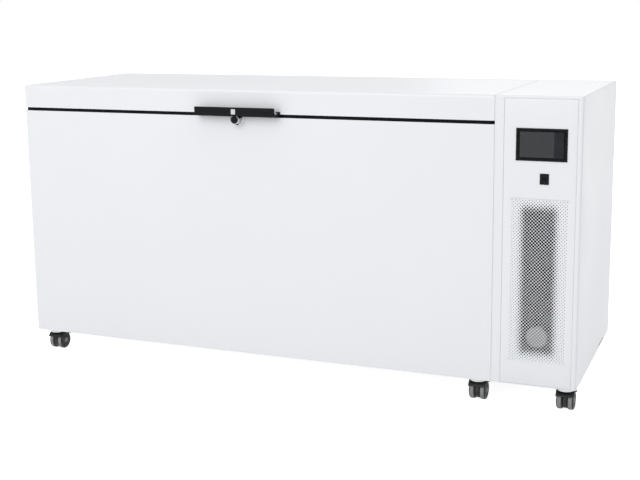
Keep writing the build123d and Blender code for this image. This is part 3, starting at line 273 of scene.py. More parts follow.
# One row for each of the record's slots: what a user would change about its look
finishDefaults = {
    "metallic": 0.0,
    "specular": 0.5,
    "spread": 0.03,
    "roughnessSpread": 0.05,
    "stretch": (1.0, 1.0, 1.0),
    "fine": 600.0,
    "coarse": 3.0,
    "depth": 0.00002,
    "scuffs": 0.15,
    "scuffColour": (0.5, 0.5, 0.5),
    "dust": 0.1,
    "dustReach": 0.16,
}
finishes = {
    "white_enamel": {
        "colour": (0.824, 0.835, 0.861), "roughness": 0.34, "specular": 0.42, "spread": 0.012,
        "fine": 420.0, "coarse": 1.6, "depth": 0.000012, "scuffs": 0.06,
        "scuffColour": (0.72, 0.73, 0.74), "dust": 0.08,
    },
    "frame_steel": {"colour": (0.50, 0.51, 0.53), "roughness": 0.5, "depth": 0.00003, "dust": 0.3},
    "zinc_steel": {
        "colour": (0.56, 0.57, 0.58), "roughness": 0.36, "metallic": 1.0, "spread": 0.09,
        "fine": 900.0, "coarse": 46.0, "depth": 0.00001, "scuffs": 0.4, "dust": 0.3,
    },
    "stainless": {
        "colour": (0.78, 0.79, 0.80), "roughness": 0.34, "metallic": 1.0, "spread": 0.025,
        "roughnessSpread": 0.025, "stretch": (1.0, 1.0, 0.008), "fine": 1400.0, "coarse": 420.0,
        "depth": 0.000003, "scuffs": 0.1,
    },
    "copper": {
        "colour": (0.72, 0.40, 0.26), "roughness": 0.34, "metallic": 1.0, "spread": 0.14,
        "coarse": 28.0, "depth": 0.00001, "scuffColour": (0.34, 0.18, 0.12), "scuffs": 0.4,
    },
    "pale_plastic": {"colour": (0.80, 0.815, 0.83), "roughness": 0.46, "fine": 1100.0},
    "inner_lid_plastic": {"colour": (0.81, 0.825, 0.84), "roughness": 0.42, "fine": 800.0, "depth": 0.00003},
    "foam": {"colour": (0.80, 0.72, 0.48), "roughness": 0.9, "fine": 260.0, "coarse": 30.0, "depth": 0.0006},
    "foil_panel": {
        "colour": (0.66, 0.67, 0.68), "roughness": 0.28, "metallic": 1.0, "fine": 60.0,
        "coarse": 14.0, "depth": 0.0005,
    },
    "black_foam": {
        "colour": (0.035, 0.035, 0.036), "roughness": 0.85, "specular": 0.2, "fine": 300.0,
        "coarse": 20.0, "depth": 0.0003, "scuffs": 0.05,
    },
    "dark_rubber": {
        "colour": (0.010, 0.0105, 0.012), "roughness": 0.62, "specular": 0.12, "fine": 700.0,
        "coarse": 9.0, "depth": 0.00004, "scuffs": 0.05, "scuffColour": (0.06, 0.06, 0.06), "dust": 0.05,
    },
    "black_plastic": {
        "colour": (0.0075, 0.008, 0.009), "roughness": 0.42, "specular": 0.10, "fine": 1300.0,
        "coarse": 6.0, "depth": 0.000012, "scuffs": 0.05, "scuffColour": (0.04, 0.04, 0.043), "dust": 0.015,
    },
    "chrome": {
        "colour": (0.50, 0.505, 0.51), "roughness": 0.22, "metallic": 1.0, "roughnessSpread": 0.03,
        "fine": 1200.0, "coarse": 40.0, "depth": 0.000002, "scuffs": 0.12, "scuffColour": (0.4, 0.4, 0.4),
        "dust": 0.0,
    },
    "hinge_steel": {
        "colour": (0.54, 0.55, 0.56), "roughness": 0.34, "metallic": 1.0, "spread": 0.07,
        "stretch": (0.02, 1.0, 1.0), "fine": 1400.0, "coarse": 260.0, "depth": 0.000006, "scuffs": 0.3,
    },
    # Near-black fins: partly a black coating, partly painted shade for the dark slots between the close fins
    "fin_aluminium": {
        "colour": (0.11, 0.115, 0.12), "roughness": 0.42, "metallic": 1.0, "spread": 0.06,
        "fine": 1000.0, "coarse": 24.0, "depth": 0.00001, "dust": 0.08, "dustReach": 0.9,
    },
    "motor_steel": {"colour": (0.34, 0.35, 0.36), "roughness": 0.45, "coarse": 30.0, "dust": 0.2},
    "black_steel": {
        "colour": (0.018, 0.018, 0.020), "roughness": 0.4, "fine": 500.0, "coarse": 8.0,
        "depth": 0.00003, "scuffColour": (0.09, 0.09, 0.09),
    },
    "board_green": {"colour": (0.02, 0.16, 0.07), "roughness": 0.35, "fine": 900.0, "coarse": 160.0},
    "fan_plastic": {"colour": (0.34, 0.345, 0.35), "roughness": 0.5, "dustReach": 0.8},
    "caster_plastic": {
        "colour": (0.012, 0.0125, 0.014), "roughness": 0.44, "specular": 0.2, "fine": 1000.0,
        "coarse": 14.0, "depth": 0.00003, "scuffs": 0.35, "scuffColour": (0.07, 0.07, 0.07),
    },
    "wheel_grey": {
        "colour": (0.21, 0.215, 0.22), "roughness": 0.6, "fine": 700.0, "coarse": 18.0,
        "depth": 0.00004, "scuffs": 0.6, "scuffColour": (0.15, 0.15, 0.15), "dust": 0.2,
    },
}
dustColour = (0.50, 0.48, 0.45, 1)
wornRoughness = 0.3


def camelName(words):
    first, *rest = words.split("_")
    return first + "".join(word.capitalize() for word in rest)


def makeFinish(slotName):
    look = {**finishDefaults, **finishes[slotName]}
    material, tree, shader = newMaterial(camelName(slotName))
    place = addNode(tree, "ShaderNodeTexCoord").outputs["Object"]
    stretched = nodeOut(tree, "ShaderNodeMapping", Vector=place, Scale=look["stretch"])
    grained = addNode(
        tree, "ShaderNodeGroup", {"node_tree": surfaceGrain}, Vector=stretched, Fine_Scale=look["fine"],
        Coarse_Scale=look["coarse"],
    ).outputs
    scuffed = nodeOut(
        tree, "ShaderNodeGroup", {"node_tree": handlingScuffs}, Vector=place, Density=look["scuffs"],
    )
    dusted = nodeOut(
        tree, "ShaderNodeGroup", {"node_tree": dustFilm}, Vector=place, Amount=look["dust"],
        Reach=look["dustReach"],
    )

    spread = look["spread"]
    tones = [(*[min(c * (1 + change), 1) for c in look["colour"]], 1) for change in (-spread, spread)]
    colour = mixColours(tree, grained["Tone"], *tones)
    colour = mixColours(tree, scuffed, colour, (*look["scuffColour"], 1))
    colour = mixColours(tree, dusted, colour, dustColour)
    rough, change = look["roughness"], look["roughnessSpread"]
    rough = mapRange(tree, grained["Patch"], 0.0, 1.0, rough - change, rough + change)
    worn = times(tree, nodeMath(tree, "MAXIMUM", scuffed, dusted), wornRoughness)
    feed(
        tree, shader, Base_Color=colour, Roughness=nodeMath(tree, "ADD", rough, worn),
        Metallic=look["metallic"], Specular_IOR_Level=look["specular"],
        Normal=nodeOut(tree, "ShaderNodeBump", Height=grained["Height"], Distance=look["depth"]),
    )
    return material


materials = {name: makeFinish(name) for name in finishes}

# The touch screen: a dark panel under glass, its active area lighter than its border
screen = {
    "border": (0.003, 0.0032, 0.004, 1),
    "panel": (0.052, 0.053, 0.057, 1),
    "strip": (0.021, 0.022, 0.026, 1),
    "sideMargin": 7.0,
    "endMargin": 6.0,
    "stripWidth": 30.0,
    "roughness": 0.12,
    "specular": 0.08,
    "smudge": (0.12, 0.12, 0.12, 1),
    "smudgeShare": 0.05,
    "smudgeRoughness": 0.1,
    "smudgeNoise": (38.0, 5.0, 0.8),  # scale, detail, bend
    "smudgeEdges": (0.48, 0.72),
    "grainNoise": (1500.0, 2.0),
    "depth": 0.000001,
}


def insideBox(tree, place, low, high):
    mask = 1.0
    for axis, start, end in zip("XZ", low, high):
        for operation, limit in (("GREATER_THAN", start), ("LESS_THAN", end)):
            mask = times(tree, mask, nodeMath(tree, operation, component(tree, axis, place), limit))
    return mask


def makeScreenFinish():
    low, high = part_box("touch_screen")
    material, tree, shader = newMaterial("screenGlass")
    place = addNode(tree, "ShaderNodeTexCoord").outputs["Object"]
    left, right = low.x + screen["sideMargin"] * mm, high.x - screen["sideMargin"] * mm
    bottom, top = low.z + screen["endMargin"] * mm, high.z - screen["endMargin"] * mm
    panelMask = insideBox(tree, place, (left, bottom), (right, top))
    stripMask = insideBox(tree, place, (right - screen["stripWidth"] * mm, bottom), (right, top))
    smudge = mapRange(tree, noise(tree, place, *screen["smudgeNoise"]), *screen["smudgeEdges"])
    colour = mixColours(tree, panelMask, screen["border"], screen["panel"])
    colour = mixColours(tree, stripMask, colour, screen["strip"])
    colour = mixColours(tree, times(tree, smudge, screen["smudgeShare"]), colour, screen["smudge"])
    rough = nodeMath(tree, "ADD", screen["roughness"], times(tree, smudge, screen["smudgeRoughness"]))
    grained = noise(tree, place, *screen["grainNoise"])
    feed(
        tree, shader, Base_Color=colour, Roughness=rough, Specular_IOR_Level=screen["specular"],
        Normal=nodeOut(tree, "ShaderNodeBump", Height=grained, Distance=screen["depth"]),
    )
    return material


# Caster wheels: grey treads with black covers and a small cap at the axle
wheel = {
    "cover": (0.012, 0.0125, 0.014, 1),
    "cap": (0.26, 0.265, 0.27, 1),
    "capRadius": 9.0,
    "coverFacing": 0.35,
}
# Swivel heads: plated steel above the plastic hood
swivel = {"colour": (0.52, 0.53, 0.54, 1), "aboveWheels": 5.3}


# A finish with one more colour where a mask says so
def layColour(tree, mask, colour):
    shader = tree.nodes["Principled BSDF"]
    below = shader.inputs["Base Color"].links[0].from_socket
    feed(tree, shader, Base_Color=mixColours(tree, mask, below, colour))


def makeWheelFinish(node):
    low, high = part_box(node)
    middle = (low + high) / 2
    material = makeFinish("wheel_grey")
    tree = material.node_tree
    place = addNode(tree, "ShaderNodeTexCoord").outputs
    facing = nodeMath(tree, "ABSOLUTE", component(tree, "X", place["Normal"]))
    cover = nodeMath(tree, "GREATER_THAN", facing, wheel["coverFacing"])
    layColour(tree, cover, wheel["cover"])
    centred = nodeOut(
        tree, "ShaderNodeMapping", Vector=place["Object"], Location=(0, -middle.y, -middle.z), Scale=(0, 1, 1),
    )
    reach = addNode(tree, "ShaderNodeVectorMath", {"operation": "LENGTH"}, i0=centred).outputs["Value"]
    near = nodeMath(tree, "LESS_THAN", reach, wheel["capRadius"] * mm)
    layColour(tree, times(tree, cover, near), wheel["cap"])
    return material


def makeForkFinish():
    material = makeFinish("caster_plastic")
    tree = material.node_tree
    place = addNode(tree, "ShaderNodeTexCoord").outputs["Object"]
    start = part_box("caster_wheels_1")[1].z + swivel["aboveWheels"] * mm
    head = nodeMath(tree, "GREATER_THAN", component(tree, "Z", place), start)
    layColour(tree, head, swivel["colour"])
    feed(tree, tree.nodes["Principled BSDF"], Metallic=head)
    return material


materials["dark_glass"] = makeScreenFinish()
materials["caster_plastic"] = makeForkFinish()
wheelFinishes = {}
for row in frame["record"]["subparts"]:
    node = frame["nodes"][row["node"]]
    finish = materials[row["material_slot"]]
    if row["material_slot"] == "wheel_grey":
        axleRow = round(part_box(row["node"])[0].y, 3)
        if axleRow not in wheelFinishes:
            wheelFinishes[axleRow] = makeWheelFinish(row["node"])
        finish = wheelFinishes[axleRow]
    for holder in node.material_slots:
        holder.material = finish
print("finishes on", len(frame["nodes"]), "nodes")


weldDistance = 0.00001


# A mesh from a bmesh, shaded smooth up to an angle in degrees
def meshFrom(shape, name, slotName, smooth=0.0):
    bmesh.ops.recalc_face_normals(shape, faces=shape.faces)
    mesh = bpy.data.meshes.new(name)
    shape.to_mesh(mesh)
    shape.free()
    mesh.materials.append(materials[slotName])
    if smooth:
        mesh.shade_smooth()
        mesh.set_sharp_from_angle(angle=math.radians(smooth))
    return mesh


# A piece from a mesh, or from a bmesh that gets its finish here
def makePiece(name, made, body, slotName, *replaced, smooth=0.0):
    mesh = made if isinstance(made, bpy.types.Mesh) else meshFrom(made, name, slotName, smooth)
    piece = linked(name, mesh)
    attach(piece, body)
    if replaced:
        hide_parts(*replaced)


def addBox(shape, low, high, edge=0.0):
    made = bmesh.ops.create_cube(shape, size=1)["verts"]
    for v in made:
        v.co = Vector([a + (c + 0.5) * (b - a) for a, b, c in zip(low, high, v.co)])
    if edge:
        edges = {e for v in made for e in v.link_edges}
        bmesh.ops.bevel(shape, geom=list(edges), offset=edge, segments=2, profile=0.5, affect="EDGES")


# Loops of equal length joined in order, their ends capped, joined or left open
def loft(shape, loops, ends="capped"):
    rings = [[shape.verts.new(p) for p in loop] for loop in loops]
    if ends == "capped":
        shape.faces.new(rings[0])
        shape.faces.new(rings[-1])
    for first, second in zip(rings, rings[1:] + (rings[:1] if ends == "joined" else [])):
        for i in range(len(first)):
            j = (i + 1) % len(first)
            shape.faces.new((first[i], first[j], second[j], second[i]))
    return rings


def quarterTurn(steps):
    return [math.radians(90 * i / steps) for i in range(steps + 1)]


def wholeTurn(sides):
    return [2 * math.pi * i / sides for i in range(sides)]


# Loops round the Y axis through a centre, from rows of (radius, distance along the axis)
def turnedLoops(rows, centre, sides):
    return [
        [(centre[0] + radius * math.cos(t), centre[1] + along, centre[2] + radius * math.sin(t))
         for t in wholeTurn(sides)]
        for radius, along in rows
    ]


# Points round a rectangle with rounded corners, each with its outward direction
def roundedLoop(x0, x1, y0, y1, radius, steps):
    points = []
    for x, y, start in ((x1, y0, -90), (x1, y1, 0), (x0, y1, 90), (x0, y0, 180)):
        cx = x - math.copysign(radius, x - (x0 + x1) / 2)
        cy = y - math.copysign(radius, y - (y0 + y1) / 2)
        for turn in quarterTurn(steps):
            out = math.cos(math.radians(start) + turn), math.sin(math.radians(start) + turn)
            points.append(((cx + radius * out[0], cy + radius * out[1]), out))
    return points


# Geometry trees: each takes its sizes and a finish, and gives real geometry in that finish
def geometryTree(name, **inputs):
    tree = bpy.data.node_groups.new(name, "GeometryNodeTree")
    sockets = tree.interface
    sockets.new_socket("Geometry", in_out="INPUT", socket_type="NodeSocketGeometry")
    for label, kind in {**inputs, "Finish": "Material"}.items():
        sockets.new_socket(label.replace("_", " "), in_out="INPUT", socket_type=f"NodeSocket{kind}")
    sockets.new_socket("Geometry", in_out="OUTPUT", socket_type="NodeSocketGeometry")
    return tree, tree.nodes.new("NodeGroupInput").outputs


def endTree(tree, geometry, given):
    real = nodeOut(tree, "GeometryNodeRealizeInstances", Geometry=geometry)
    dressed = nodeOut(tree, "GeometryNodeSetMaterial", Geometry=real, Material=given["Finish"])
    addNode(tree, "NodeGroupOutput", i0=dressed)
    return tree


def objectShape(tree, lent):
    return addNode(tree, "GeometryNodeObjectInfo", Object=lent).outputs["Geometry"]


def joinShapes(tree, *shapes):
    joined = addNode(tree, "GeometryNodeJoinGeometry")
    for shape in shapes:
        tree.links.new(shape, joined.inputs[0])
    return joined.outputs[0]


def vectorMath(tree, operation, first, second):
    return nodeOut(tree, "ShaderNodeVectorMath", {"operation": operation}, i0=first, i1=second)


def scaleVector(tree, vector, scale):
    return nodeOut(tree, "ShaderNodeVectorMath", {"operation": "SCALE"}, i0=vector, Scale=scale)


# What a tree makes of its values, as a plain mesh; a mesh among the values is lent as an object
def growMesh(name, tree, slotName, **values):
    holder = linked(name, bpy.data.meshes.new(name))
    helpers = [holder]
    given = {"Finish": materials[slotName]}
    for label, value in values.items():
        if isinstance(value, bpy.types.Mesh):
            value = linked(label, value)
            helpers.append(value)
        given[label.replace("_", " ")] = value
    modifier = holder.modifiers.new(name, "NODES")
    modifier.node_group = tree
    for socket in tree.interface.items_tree:
        if socket.in_out == "INPUT" and socket.name in given:
            modifier[socket.identifier] = given[socket.name]
    bpy.context.view_layer.update()
    depsgraph = bpy.context.evaluated_depsgraph_get()
    mesh = bpy.data.meshes.new_from_object(holder.evaluated_get(depsgraph))
    for helper in helpers:
        bpy.data.objects.remove(helper)
    return mesh


# Copies of one part on the points of another mesh, each turned a little at random
def buildScatterTree():
    tree, given = geometryTree(
        "partsOnPlaces", Part="Object", Places="Object", Turn="Vector", Loose_Turn="Float",
    )
    copies = nodeOut(
        tree, "GeometryNodeInstanceOnPoints", Points=objectShape(tree, given["Places"]),
        Instance=objectShape(tree, given["Part"]), Rotation=given["Turn"],
    )
    chance = addNode(
        tree, "FunctionNodeRandomValue", {"data_type": "FLOAT"}, i2=0.0, i3=given["Loose Turn"], Seed=7,
    )
    spin = nodeOut(tree, "ShaderNodeCombineXYZ", Z=chance.outputs[1])
    turned = nodeOut(
        tree, "GeometryNodeRotateInstances", Instances=copies, Rotation=spin, Local_Space=True,
    )
    return endTree(tree, turned, given)


# A run of one part, each copy a step and a turn further, joined with what holds them
def buildRunTree():
    tree, given = geometryTree(
        "runOfParts", Part="Object", Holder="Object", Count="Int", Start="Vector", Step="Vector", Turn="Vector",
    )
    line = nodeOut(
        tree, "GeometryNodeMeshLine", {"mode": "OFFSET"}, Count=given["Count"], Start_Location=given["Start"],
        Offset=given["Step"],
    )
    number = nodeOut(tree, "GeometryNodeInputIndex")
    copies = nodeOut(
        tree, "GeometryNodeInstanceOnPoints", Points=line, Instance=objectShape(tree, given["Part"]),
        Rotation=scaleVector(tree, given["Turn"], number),
    )
    return endTree(tree, joinShapes(tree, objectShape(tree, given["Holder"]), copies), given)


scatterTree = buildScatterTree()
runTree = buildRunTree()
print("geometry trees built")

# Front panel of the tower: a folded sheet with windows, and the perforated field as a second piece
frontPanel = {
    "edgeRadius": 3.0,
    "edgeSteps": 4,
    "sheet": 1.2,
    "displayLip": 7.0,
    "portLip": 3.0,
    "bottomDepth": 1.3,
    "freeBelow": 120.0,
}
grille = {
    "columns": 17,
    "rows": 49,
    "pitch": 11.0,
    "centreShift": 2.0,
    "centreHeight": 438.0,
    "middleHole": 3.78,
    "sideHole": 1.35,
    "darkHalfWidth": 40.5,
    "darkCentreShift": -1.0,
    "sideFade": 36.0,
    "endFade": 46.0,
    "tileSides": 12,
    "tileRing": 0.25,  # of the pitch
    "weld": 0.04,
    "backWeld": 0.02,
}
# The tree's inputs and the sizes above that they take
grilleSizes = {
    "Pitch": "pitch",
    "Middle_Hole": "middleHole",
    "Side_Hole": "sideHole",
    "Dark_Half_Width": "darkHalfWidth",
    "Dark_Shift": "darkCentreShift",
    "Side_Fade": "sideFade",
    "End_Fade": "endFade",
}


def grilleWindow():
    low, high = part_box("front_panel")
    middle = (low.x + high.x) / 2 + grille["centreShift"] * mm
    halfWidth, halfHeight = (grille[count] * grille["pitch"] * mm / 2 for count in ("columns", "rows"))
    centreZ = grille["centreHeight"] * mm
    return (middle - halfWidth, middle + halfWidth), (centreZ - halfHeight, centreZ + halfHeight)


def shrunkBox(node, lip):
    low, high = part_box(node)
    return (low.x + lip * mm, high.x - lip * mm), (low.z + lip * mm, high.z - lip * mm)


def buildFrontPanel():
    low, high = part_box("front_panel")
    edge, sheet = frontPanel["edgeRadius"] * mm, frontPanel["sheet"] * mm
    windows = (
        shrunkBox("display_bezel", frontPanel["displayLip"]),
        shrunkBox("data_port", frontPanel["portLip"]),
        grilleWindow(),
    )
    xs = sorted({low.x + edge, high.x - edge, *[x for across, up in windows for x in across]})
    zs = sorted({low.z + edge, high.z - edge, *[z for across, up in windows for z in up]})

    def isOpen(i, j):
        if not (0 <= i < len(xs) - 1 and 0 <= j < len(zs) - 1):
            return False
        x, z = (xs[i] + xs[i + 1]) / 2, (zs[j] + zs[j + 1]) / 2
        return any(across[0] < x < across[1] and up[0] < z < up[1] for across, up in windows)

    shape = bmesh.new()
    for i in range(len(xs) - 1):
        for j in range(len(zs) - 1):
            if isOpen(i, j):
                continue
            corners = ((xs[i], zs[j]), (xs[i + 1], zs[j]), (xs[i + 1], zs[j + 1]), (xs[i], zs[j + 1]))
            for y in (low.y, low.y + sheet):
                shape.faces.new([shape.verts.new((x, y, z)) for x, z in corners])
            # Windows get a wall on each side that meets the sheet
            for k, (right, up) in enumerate(((0, -1), (1, 0), (0, 1), (-1, 0))):
                if isOpen(i + right, j + up):
                    ends = (corners[k], corners[(k + 1) % 4])
                    wall = [(x, low.y, z) for x, z in ends] + [(x, low.y + sheet, z) for x, z in reversed(ends)]
                    shape.faces.new([shape.verts.new(p) for p in wall])

    # The folded rim runs round the grid's outer points, less deep near the floor
    rim = [(x, zs[0]) for x in xs] + [(xs[-1], z) for z in zs[1:]]
    rim += [(x, zs[-1]) for x in reversed(xs[:-1])] + [(xs[0], z) for z in reversed(zs[1:-1])]
    depth, inner = high.y - low.y, edge - sheet
    turns = quarterTurn(frontPanel["edgeSteps"])
    section = [(edge * math.sin(t), edge * (1 - math.cos(t))) for t in turns] + [(edge, depth), (inner, depth)]
    section += [(inner * math.sin(t), edge - inner * math.cos(t)) for t in reversed(turns)]
    loops = []
    for reach, rise in section:
        loop = []
        for x, z in rim:
            limit = frontPanel["bottomDepth"] * mm if z < frontPanel["freeBelow"] * mm else depth
            outX, outZ = (x == xs[-1]) - (x == xs[0]), (z == zs[-1]) - (z == zs[0])
            loop.append((x + outX * reach, low.y + min(rise, limit), z + outZ * reach))
        loops.append(loop)
    loft(shape, loops, "open")
    bmesh.ops.remove_doubles(shape, verts=shape.verts, dist=weldDistance)
    makePiece("frontPanel", shape, "cabinet", "white_enamel", "front_panel", smooth=35)


# One cell of the perforated field: a diamond with a ring of points round its hole
def tileMesh():
    sides, ring = grille["tileSides"], grille["tileRing"]
    outer = []
    for i in range(sides):
        corner, step = divmod(i, sides // 4)
        share = step / (sides // 4)
        here, after = math.radians(90 * corner), math.radians(90 * (corner + 1))
        x, y = (0.5 * (wave(here) * (1 - share) + wave(after) * share) for wave in (math.cos, math.sin))
        outer.append((x, y, 0))
    inner = [(ring * math.cos(t), ring * math.sin(t), 0) for t in wholeTurn(sides)]
    faces = [(i, (i + 1) % sides, sides + (i + 1) % sides, sides + i) for i in range(sides)]
    mesh = bpy.data.meshes.new("grilleTile")
    mesh.from_pydata(outer + inner, [], faces)
    mark = mesh.attributes.new("ring", "FLOAT", "POINT")
    mark.data.foreach_set("value", [0.0] * sides + [1.0] * sides)
    return mesh


def buildGrilleTree():
    tree, given = geometryTree(
        "gradedPerforations", Tile="Object", Columns="Int", Rows="Int", Place="Vector", Sheet="Float",
        **{label: "Float" for label in grilleSizes},
    )

    def work(operation, first, second=0.0):
        return nodeMath(tree, operation, first, second)

    fullWidth, fullHeight = (times(tree, given[count], given["Pitch"]) for count in ("Columns", "Rows"))
    halfWidth, halfHeight = times(tree, fullWidth, 0.5), times(tree, fullHeight, 0.5)
    cells = nodeOut(
        tree, "GeometryNodeMeshGrid", Size_X=work("SUBTRACT", fullWidth, given["Pitch"]),
        Size_Y=work("SUBTRACT", fullHeight, given["Pitch"]), Vertices_X=given["Columns"],
        Vertices_Y=given["Rows"],
    )
    corners = nodeOut(
        tree, "GeometryNodeMeshGrid", Size_X=fullWidth, Size_Y=fullHeight,
        Vertices_X=work("ADD", given["Columns"], 1.0), Vertices_Y=work("ADD", given["Rows"], 1.0),
    )
    place = nodeOut(tree, "GeometryNodeInputPosition")
    kept = tree.nodes.new("GeometryNodeCaptureAttribute")
    kept.capture_items.new("VECTOR", "Centre")
    feed(tree, kept, i0=joinShapes(tree, cells, corners), i1=place)
    copies = nodeOut(
        tree, "GeometryNodeInstanceOnPoints", Points=kept.outputs[0], Instance=objectShape(tree, given["Tile"]),
        Scale=given["Pitch"],
    )
    real = nodeOut(tree, "GeometryNodeRealizeInstances", Geometry=copies)

    # The hole's radius falls off from the dark column towards the sides and ends
    centre = kept.outputs[1]
    split = addNode(tree, "ShaderNodeSeparateXYZ", Vector=centre).outputs
    fromColumn = work("ABSOLUTE", work("SUBTRACT", split["X"], given["Dark Shift"]))
    sideEnd = work("ADD", given["Dark Half Width"], given["Side Fade"])
    sideShare = mapRange(tree, fromColumn, given["Dark Half Width"], sideEnd, 1.0, 0.0, "SMOOTHSTEP")
    fromMiddle = work("ABSOLUTE", split["Y"])
    endStart = work("SUBTRACT", halfHeight, given["End Fade"])
    endShare = mapRange(tree, fromMiddle, endStart, halfHeight, 1.0, 0.0, "SMOOTHSTEP")
    growth = work("SUBTRACT", given["Middle Hole"], given["Side Hole"])
    radius = work("ADD", given["Side Hole"], times(tree, growth, times(tree, sideShare, endShare)))

    # Cells on the field's border have no hole, and none reaches past it
    ringRadius = times(tree, given["Pitch"], grille["tileRing"])
    insideX = work("LESS_THAN", work("ABSOLUTE", split["X"]), work("SUBTRACT", halfWidth, ringRadius))
    insideY = work("LESS_THAN", fromMiddle, work("SUBTRACT", halfHeight, ringRadius))
    radius = times(tree, radius, times(tree, insideX, insideY))
    ring = nodeOut(tree, "GeometryNodeInputNamedAttribute", {"data_type": "FLOAT"}, Name="ring")
    change = work("SUBTRACT", work("DIVIDE", radius, ringRadius), 1.0)
    scale = work("ADD", 1.0, times(tree, ring, change))
    offset = vectorMath(tree, "SUBTRACT", place, centre)
    moved = vectorMath(tree, "ADD", centre, scaleVector(tree, offset, scale))
    highCorner = nodeOut(tree, "ShaderNodeCombineXYZ", X=halfWidth, Y=halfHeight)
    held = vectorMath(tree, "MINIMUM", moved, highCorner)
    held = vectorMath(tree, "MAXIMUM", held, scaleVector(tree, highCorner, -1.0))
    shaped = nodeOut(tree, "GeometryNodeSetPosition", Geometry=real, Position=held)
    welded = nodeOut(tree, "GeometryNodeMergeByDistance", Geometry=shaped, Distance=grille["weld"] * mm)

    # The flat field gets its thickness behind, and its face stays in front
    behind = nodeOut(tree, "GeometryNodeFlipFaces", Mesh=welded)
    thick = nodeOut(
        tree, "GeometryNodeExtrudeMesh", {"mode": "FACES"}, Mesh=behind, Offset_Scale=given["Sheet"],
        Individual=False,
    )
    closed = nodeOut(
        tree, "GeometryNodeMergeByDistance", Geometry=joinShapes(tree, thick, welded),
        Distance=grille["backWeld"] * mm,
    )
    clean = nodeOut(tree, "GeometryNodeRemoveAttribute", Geometry=closed, Name="ring")
    upright = nodeOut(
        tree, "GeometryNodeTransform", Geometry=clean, Translation=given["Place"], Rotation=(math.pi / 2, 0, 0),
    )
    return endTree(tree, upright, given)


def buildGrille():
    (x0, x1), (z0, z1) = grilleWindow()
    mesh = growMesh(
        "gradedGrille", buildGrilleTree(), "white_enamel", Tile=tileMesh(), Columns=grille["columns"],
        Rows=grille["rows"], Place=((x0 + x1) / 2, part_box("front_panel")[0].y, (z0 + z1) / 2),
        Sheet=frontPanel["sheet"] * mm, **{label: grille[key] * mm for label, key in grilleSizes.items()},
    )
    makePiece("gradedGrille", mesh, "cabinet", "white_enamel")
    print("grille has", len(mesh.polygons), "faces")


buildFrontPanel()
buildGrille()

# Handle: a bow with rounded edges and a finger groove, hollow underneath, on lower feet
handle = {
    "cornerRadius": 5.0,
    "leastRadius": 0.5,
    "cornerSteps": 5,
    "edgeRadius": 3.0,
    "edgeSteps": 5,
    "lowEdge": 1.0,
    "wall": 4.0,
    "slope": 6.0,
    "footShare": 0.5,
    "fallDepth": 14.0,
    "grooveHeight": 15.0,
    "grooveWidth": 3.0,
    "grooveFloor": 1.8,
    "grooveDepth": 0.8,
    "trimWidth": 15.0,
    "trimEdge": 3.0,
    "trimProud": 0.5,
}


def handleLoop(inset, z):
    low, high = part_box("lid_handle")
    slope = handle["slope"] * mm
    radius = max(handle["cornerRadius"] * mm - inset, handle["leastRadius"] * mm)
    x0, x1, front, back = low.x + inset, high.x - inset, low.y + inset, high.y
    corners = [(x0, back), (x0 + slope, front), (x1 - slope, front), (x1, back)]
    fall = handle["fallDepth"] * mm
    drift = slope * (1 - fall / (back - front))
    # The feet between the bar and the body are lower than the bar
    foot = low.z + (z - low.z) * handle["footShare"]
    points = []
    for i in (1, 2):
        before, here, after = (Vector(corners[k]) for k in (i - 1, i, i + 1))
        toBefore, toAfter = (before - here).normalized(), (after - here).normalized()
        reach = radius / math.tan(toBefore.angle(toAfter) / 2)
        start, end = here + toBefore * reach, here + toAfter * reach
        for k in range(handle["cornerSteps"] + 1):
            t = k / handle["cornerSteps"]
            points.append((*(start * (1 - t) ** 2 + here * 2 * t * (1 - t) + end * t * t), z))
    knees = [(x0 + drift, front + fall, foot), (x1 - drift, front + fall, foot)]
    return [(*corners[0], foot), knees[0], *points, knees[1], (*corners[3], foot)]


def buildHandle():
    low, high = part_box("lid_handle")
    edge, lowEdge, wall = (handle[name] * mm for name in ("edgeRadius", "lowEdge", "wall"))
    groove = low.z + handle["grooveHeight"] * mm
    mouth, floor = handle["grooveWidth"] * mm / 2, handle["grooveFloor"] * mm / 2
    depth, turns = handle["grooveDepth"] * mm, quarterTurn(handle["edgeSteps"])
    # Section rows are (inset, height): up the inside, under the wall, over the groove and round the top edge
    rows = [(wall, high.z - wall), (wall, low.z), (lowEdge, low.z), (0, low.z + lowEdge)]
    rows += [(0, groove - mouth), (depth, groove - floor), (depth, groove + floor), (0, groove + mouth)]
    rows += [(edge * (1 - math.cos(t)), high.z - edge * (1 - math.sin(t))) for t in turns]
    shape = bmesh.new()
    rings = loft(shape, [handleLoop(inset, z) for inset, z in rows])
    # Both caps fold at the bar's back edge and at the knees
    for ring in (rings[0], rings[-1]):
        for i in (1, 2):
            first, second = ring[i], ring[-1 - i]
            cap = next(face for face in first.link_faces if second in face.verts)
            bmesh.utils.face_split(cap, first, second)
    makePiece("handleBow", shape, "lid", "black_plastic", "lid_handle", smooth=40)

    # Chrome trims set into both ends, next to the bar's corners, as a painted highlight: their brightness
    # stands in for the light streak on each sloped end
    trims = bmesh.new()
    names = ("trimProud", "trimWidth", "trimEdge", "slope", "cornerRadius", "fallDepth")
    proud, width, rim, slope, radius, fall = (handle[name] * mm for name in names)
    bottom, top = low.z + rim, high.z - rim
    footTop = low.z + (high.z - low.z) * handle["footShare"] - rim
    for corner, way in ((low.x + slope, -1), (high.x - slope, 1)):
        along = Vector((way * slope, high.y - low.y, 0)).normalized()
        out = Vector((way * (high.y - low.y), -slope, 0)).normalized()
        start = Vector((corner, low.y, 0))
        far = radius + width
        outline = ((radius, bottom), (far, bottom), (far, footTop), (fall, footTop), (radius, top))
        loft(trims, [[start + along * reach + out * lift + Vector((0, 0, z)) for reach, z in outline]
                     for lift in (-proud, proud)])
    makePiece("handleTrims", trims, "lid", "chrome")


buildHandle()

# Lock: a chrome collar at the foot of the barrel
lock = {"collarRadius": 21.0, "collarDepth": 3.0, "collarEdge": 1.0, "edgeShare": 0.3, "sides": 48}


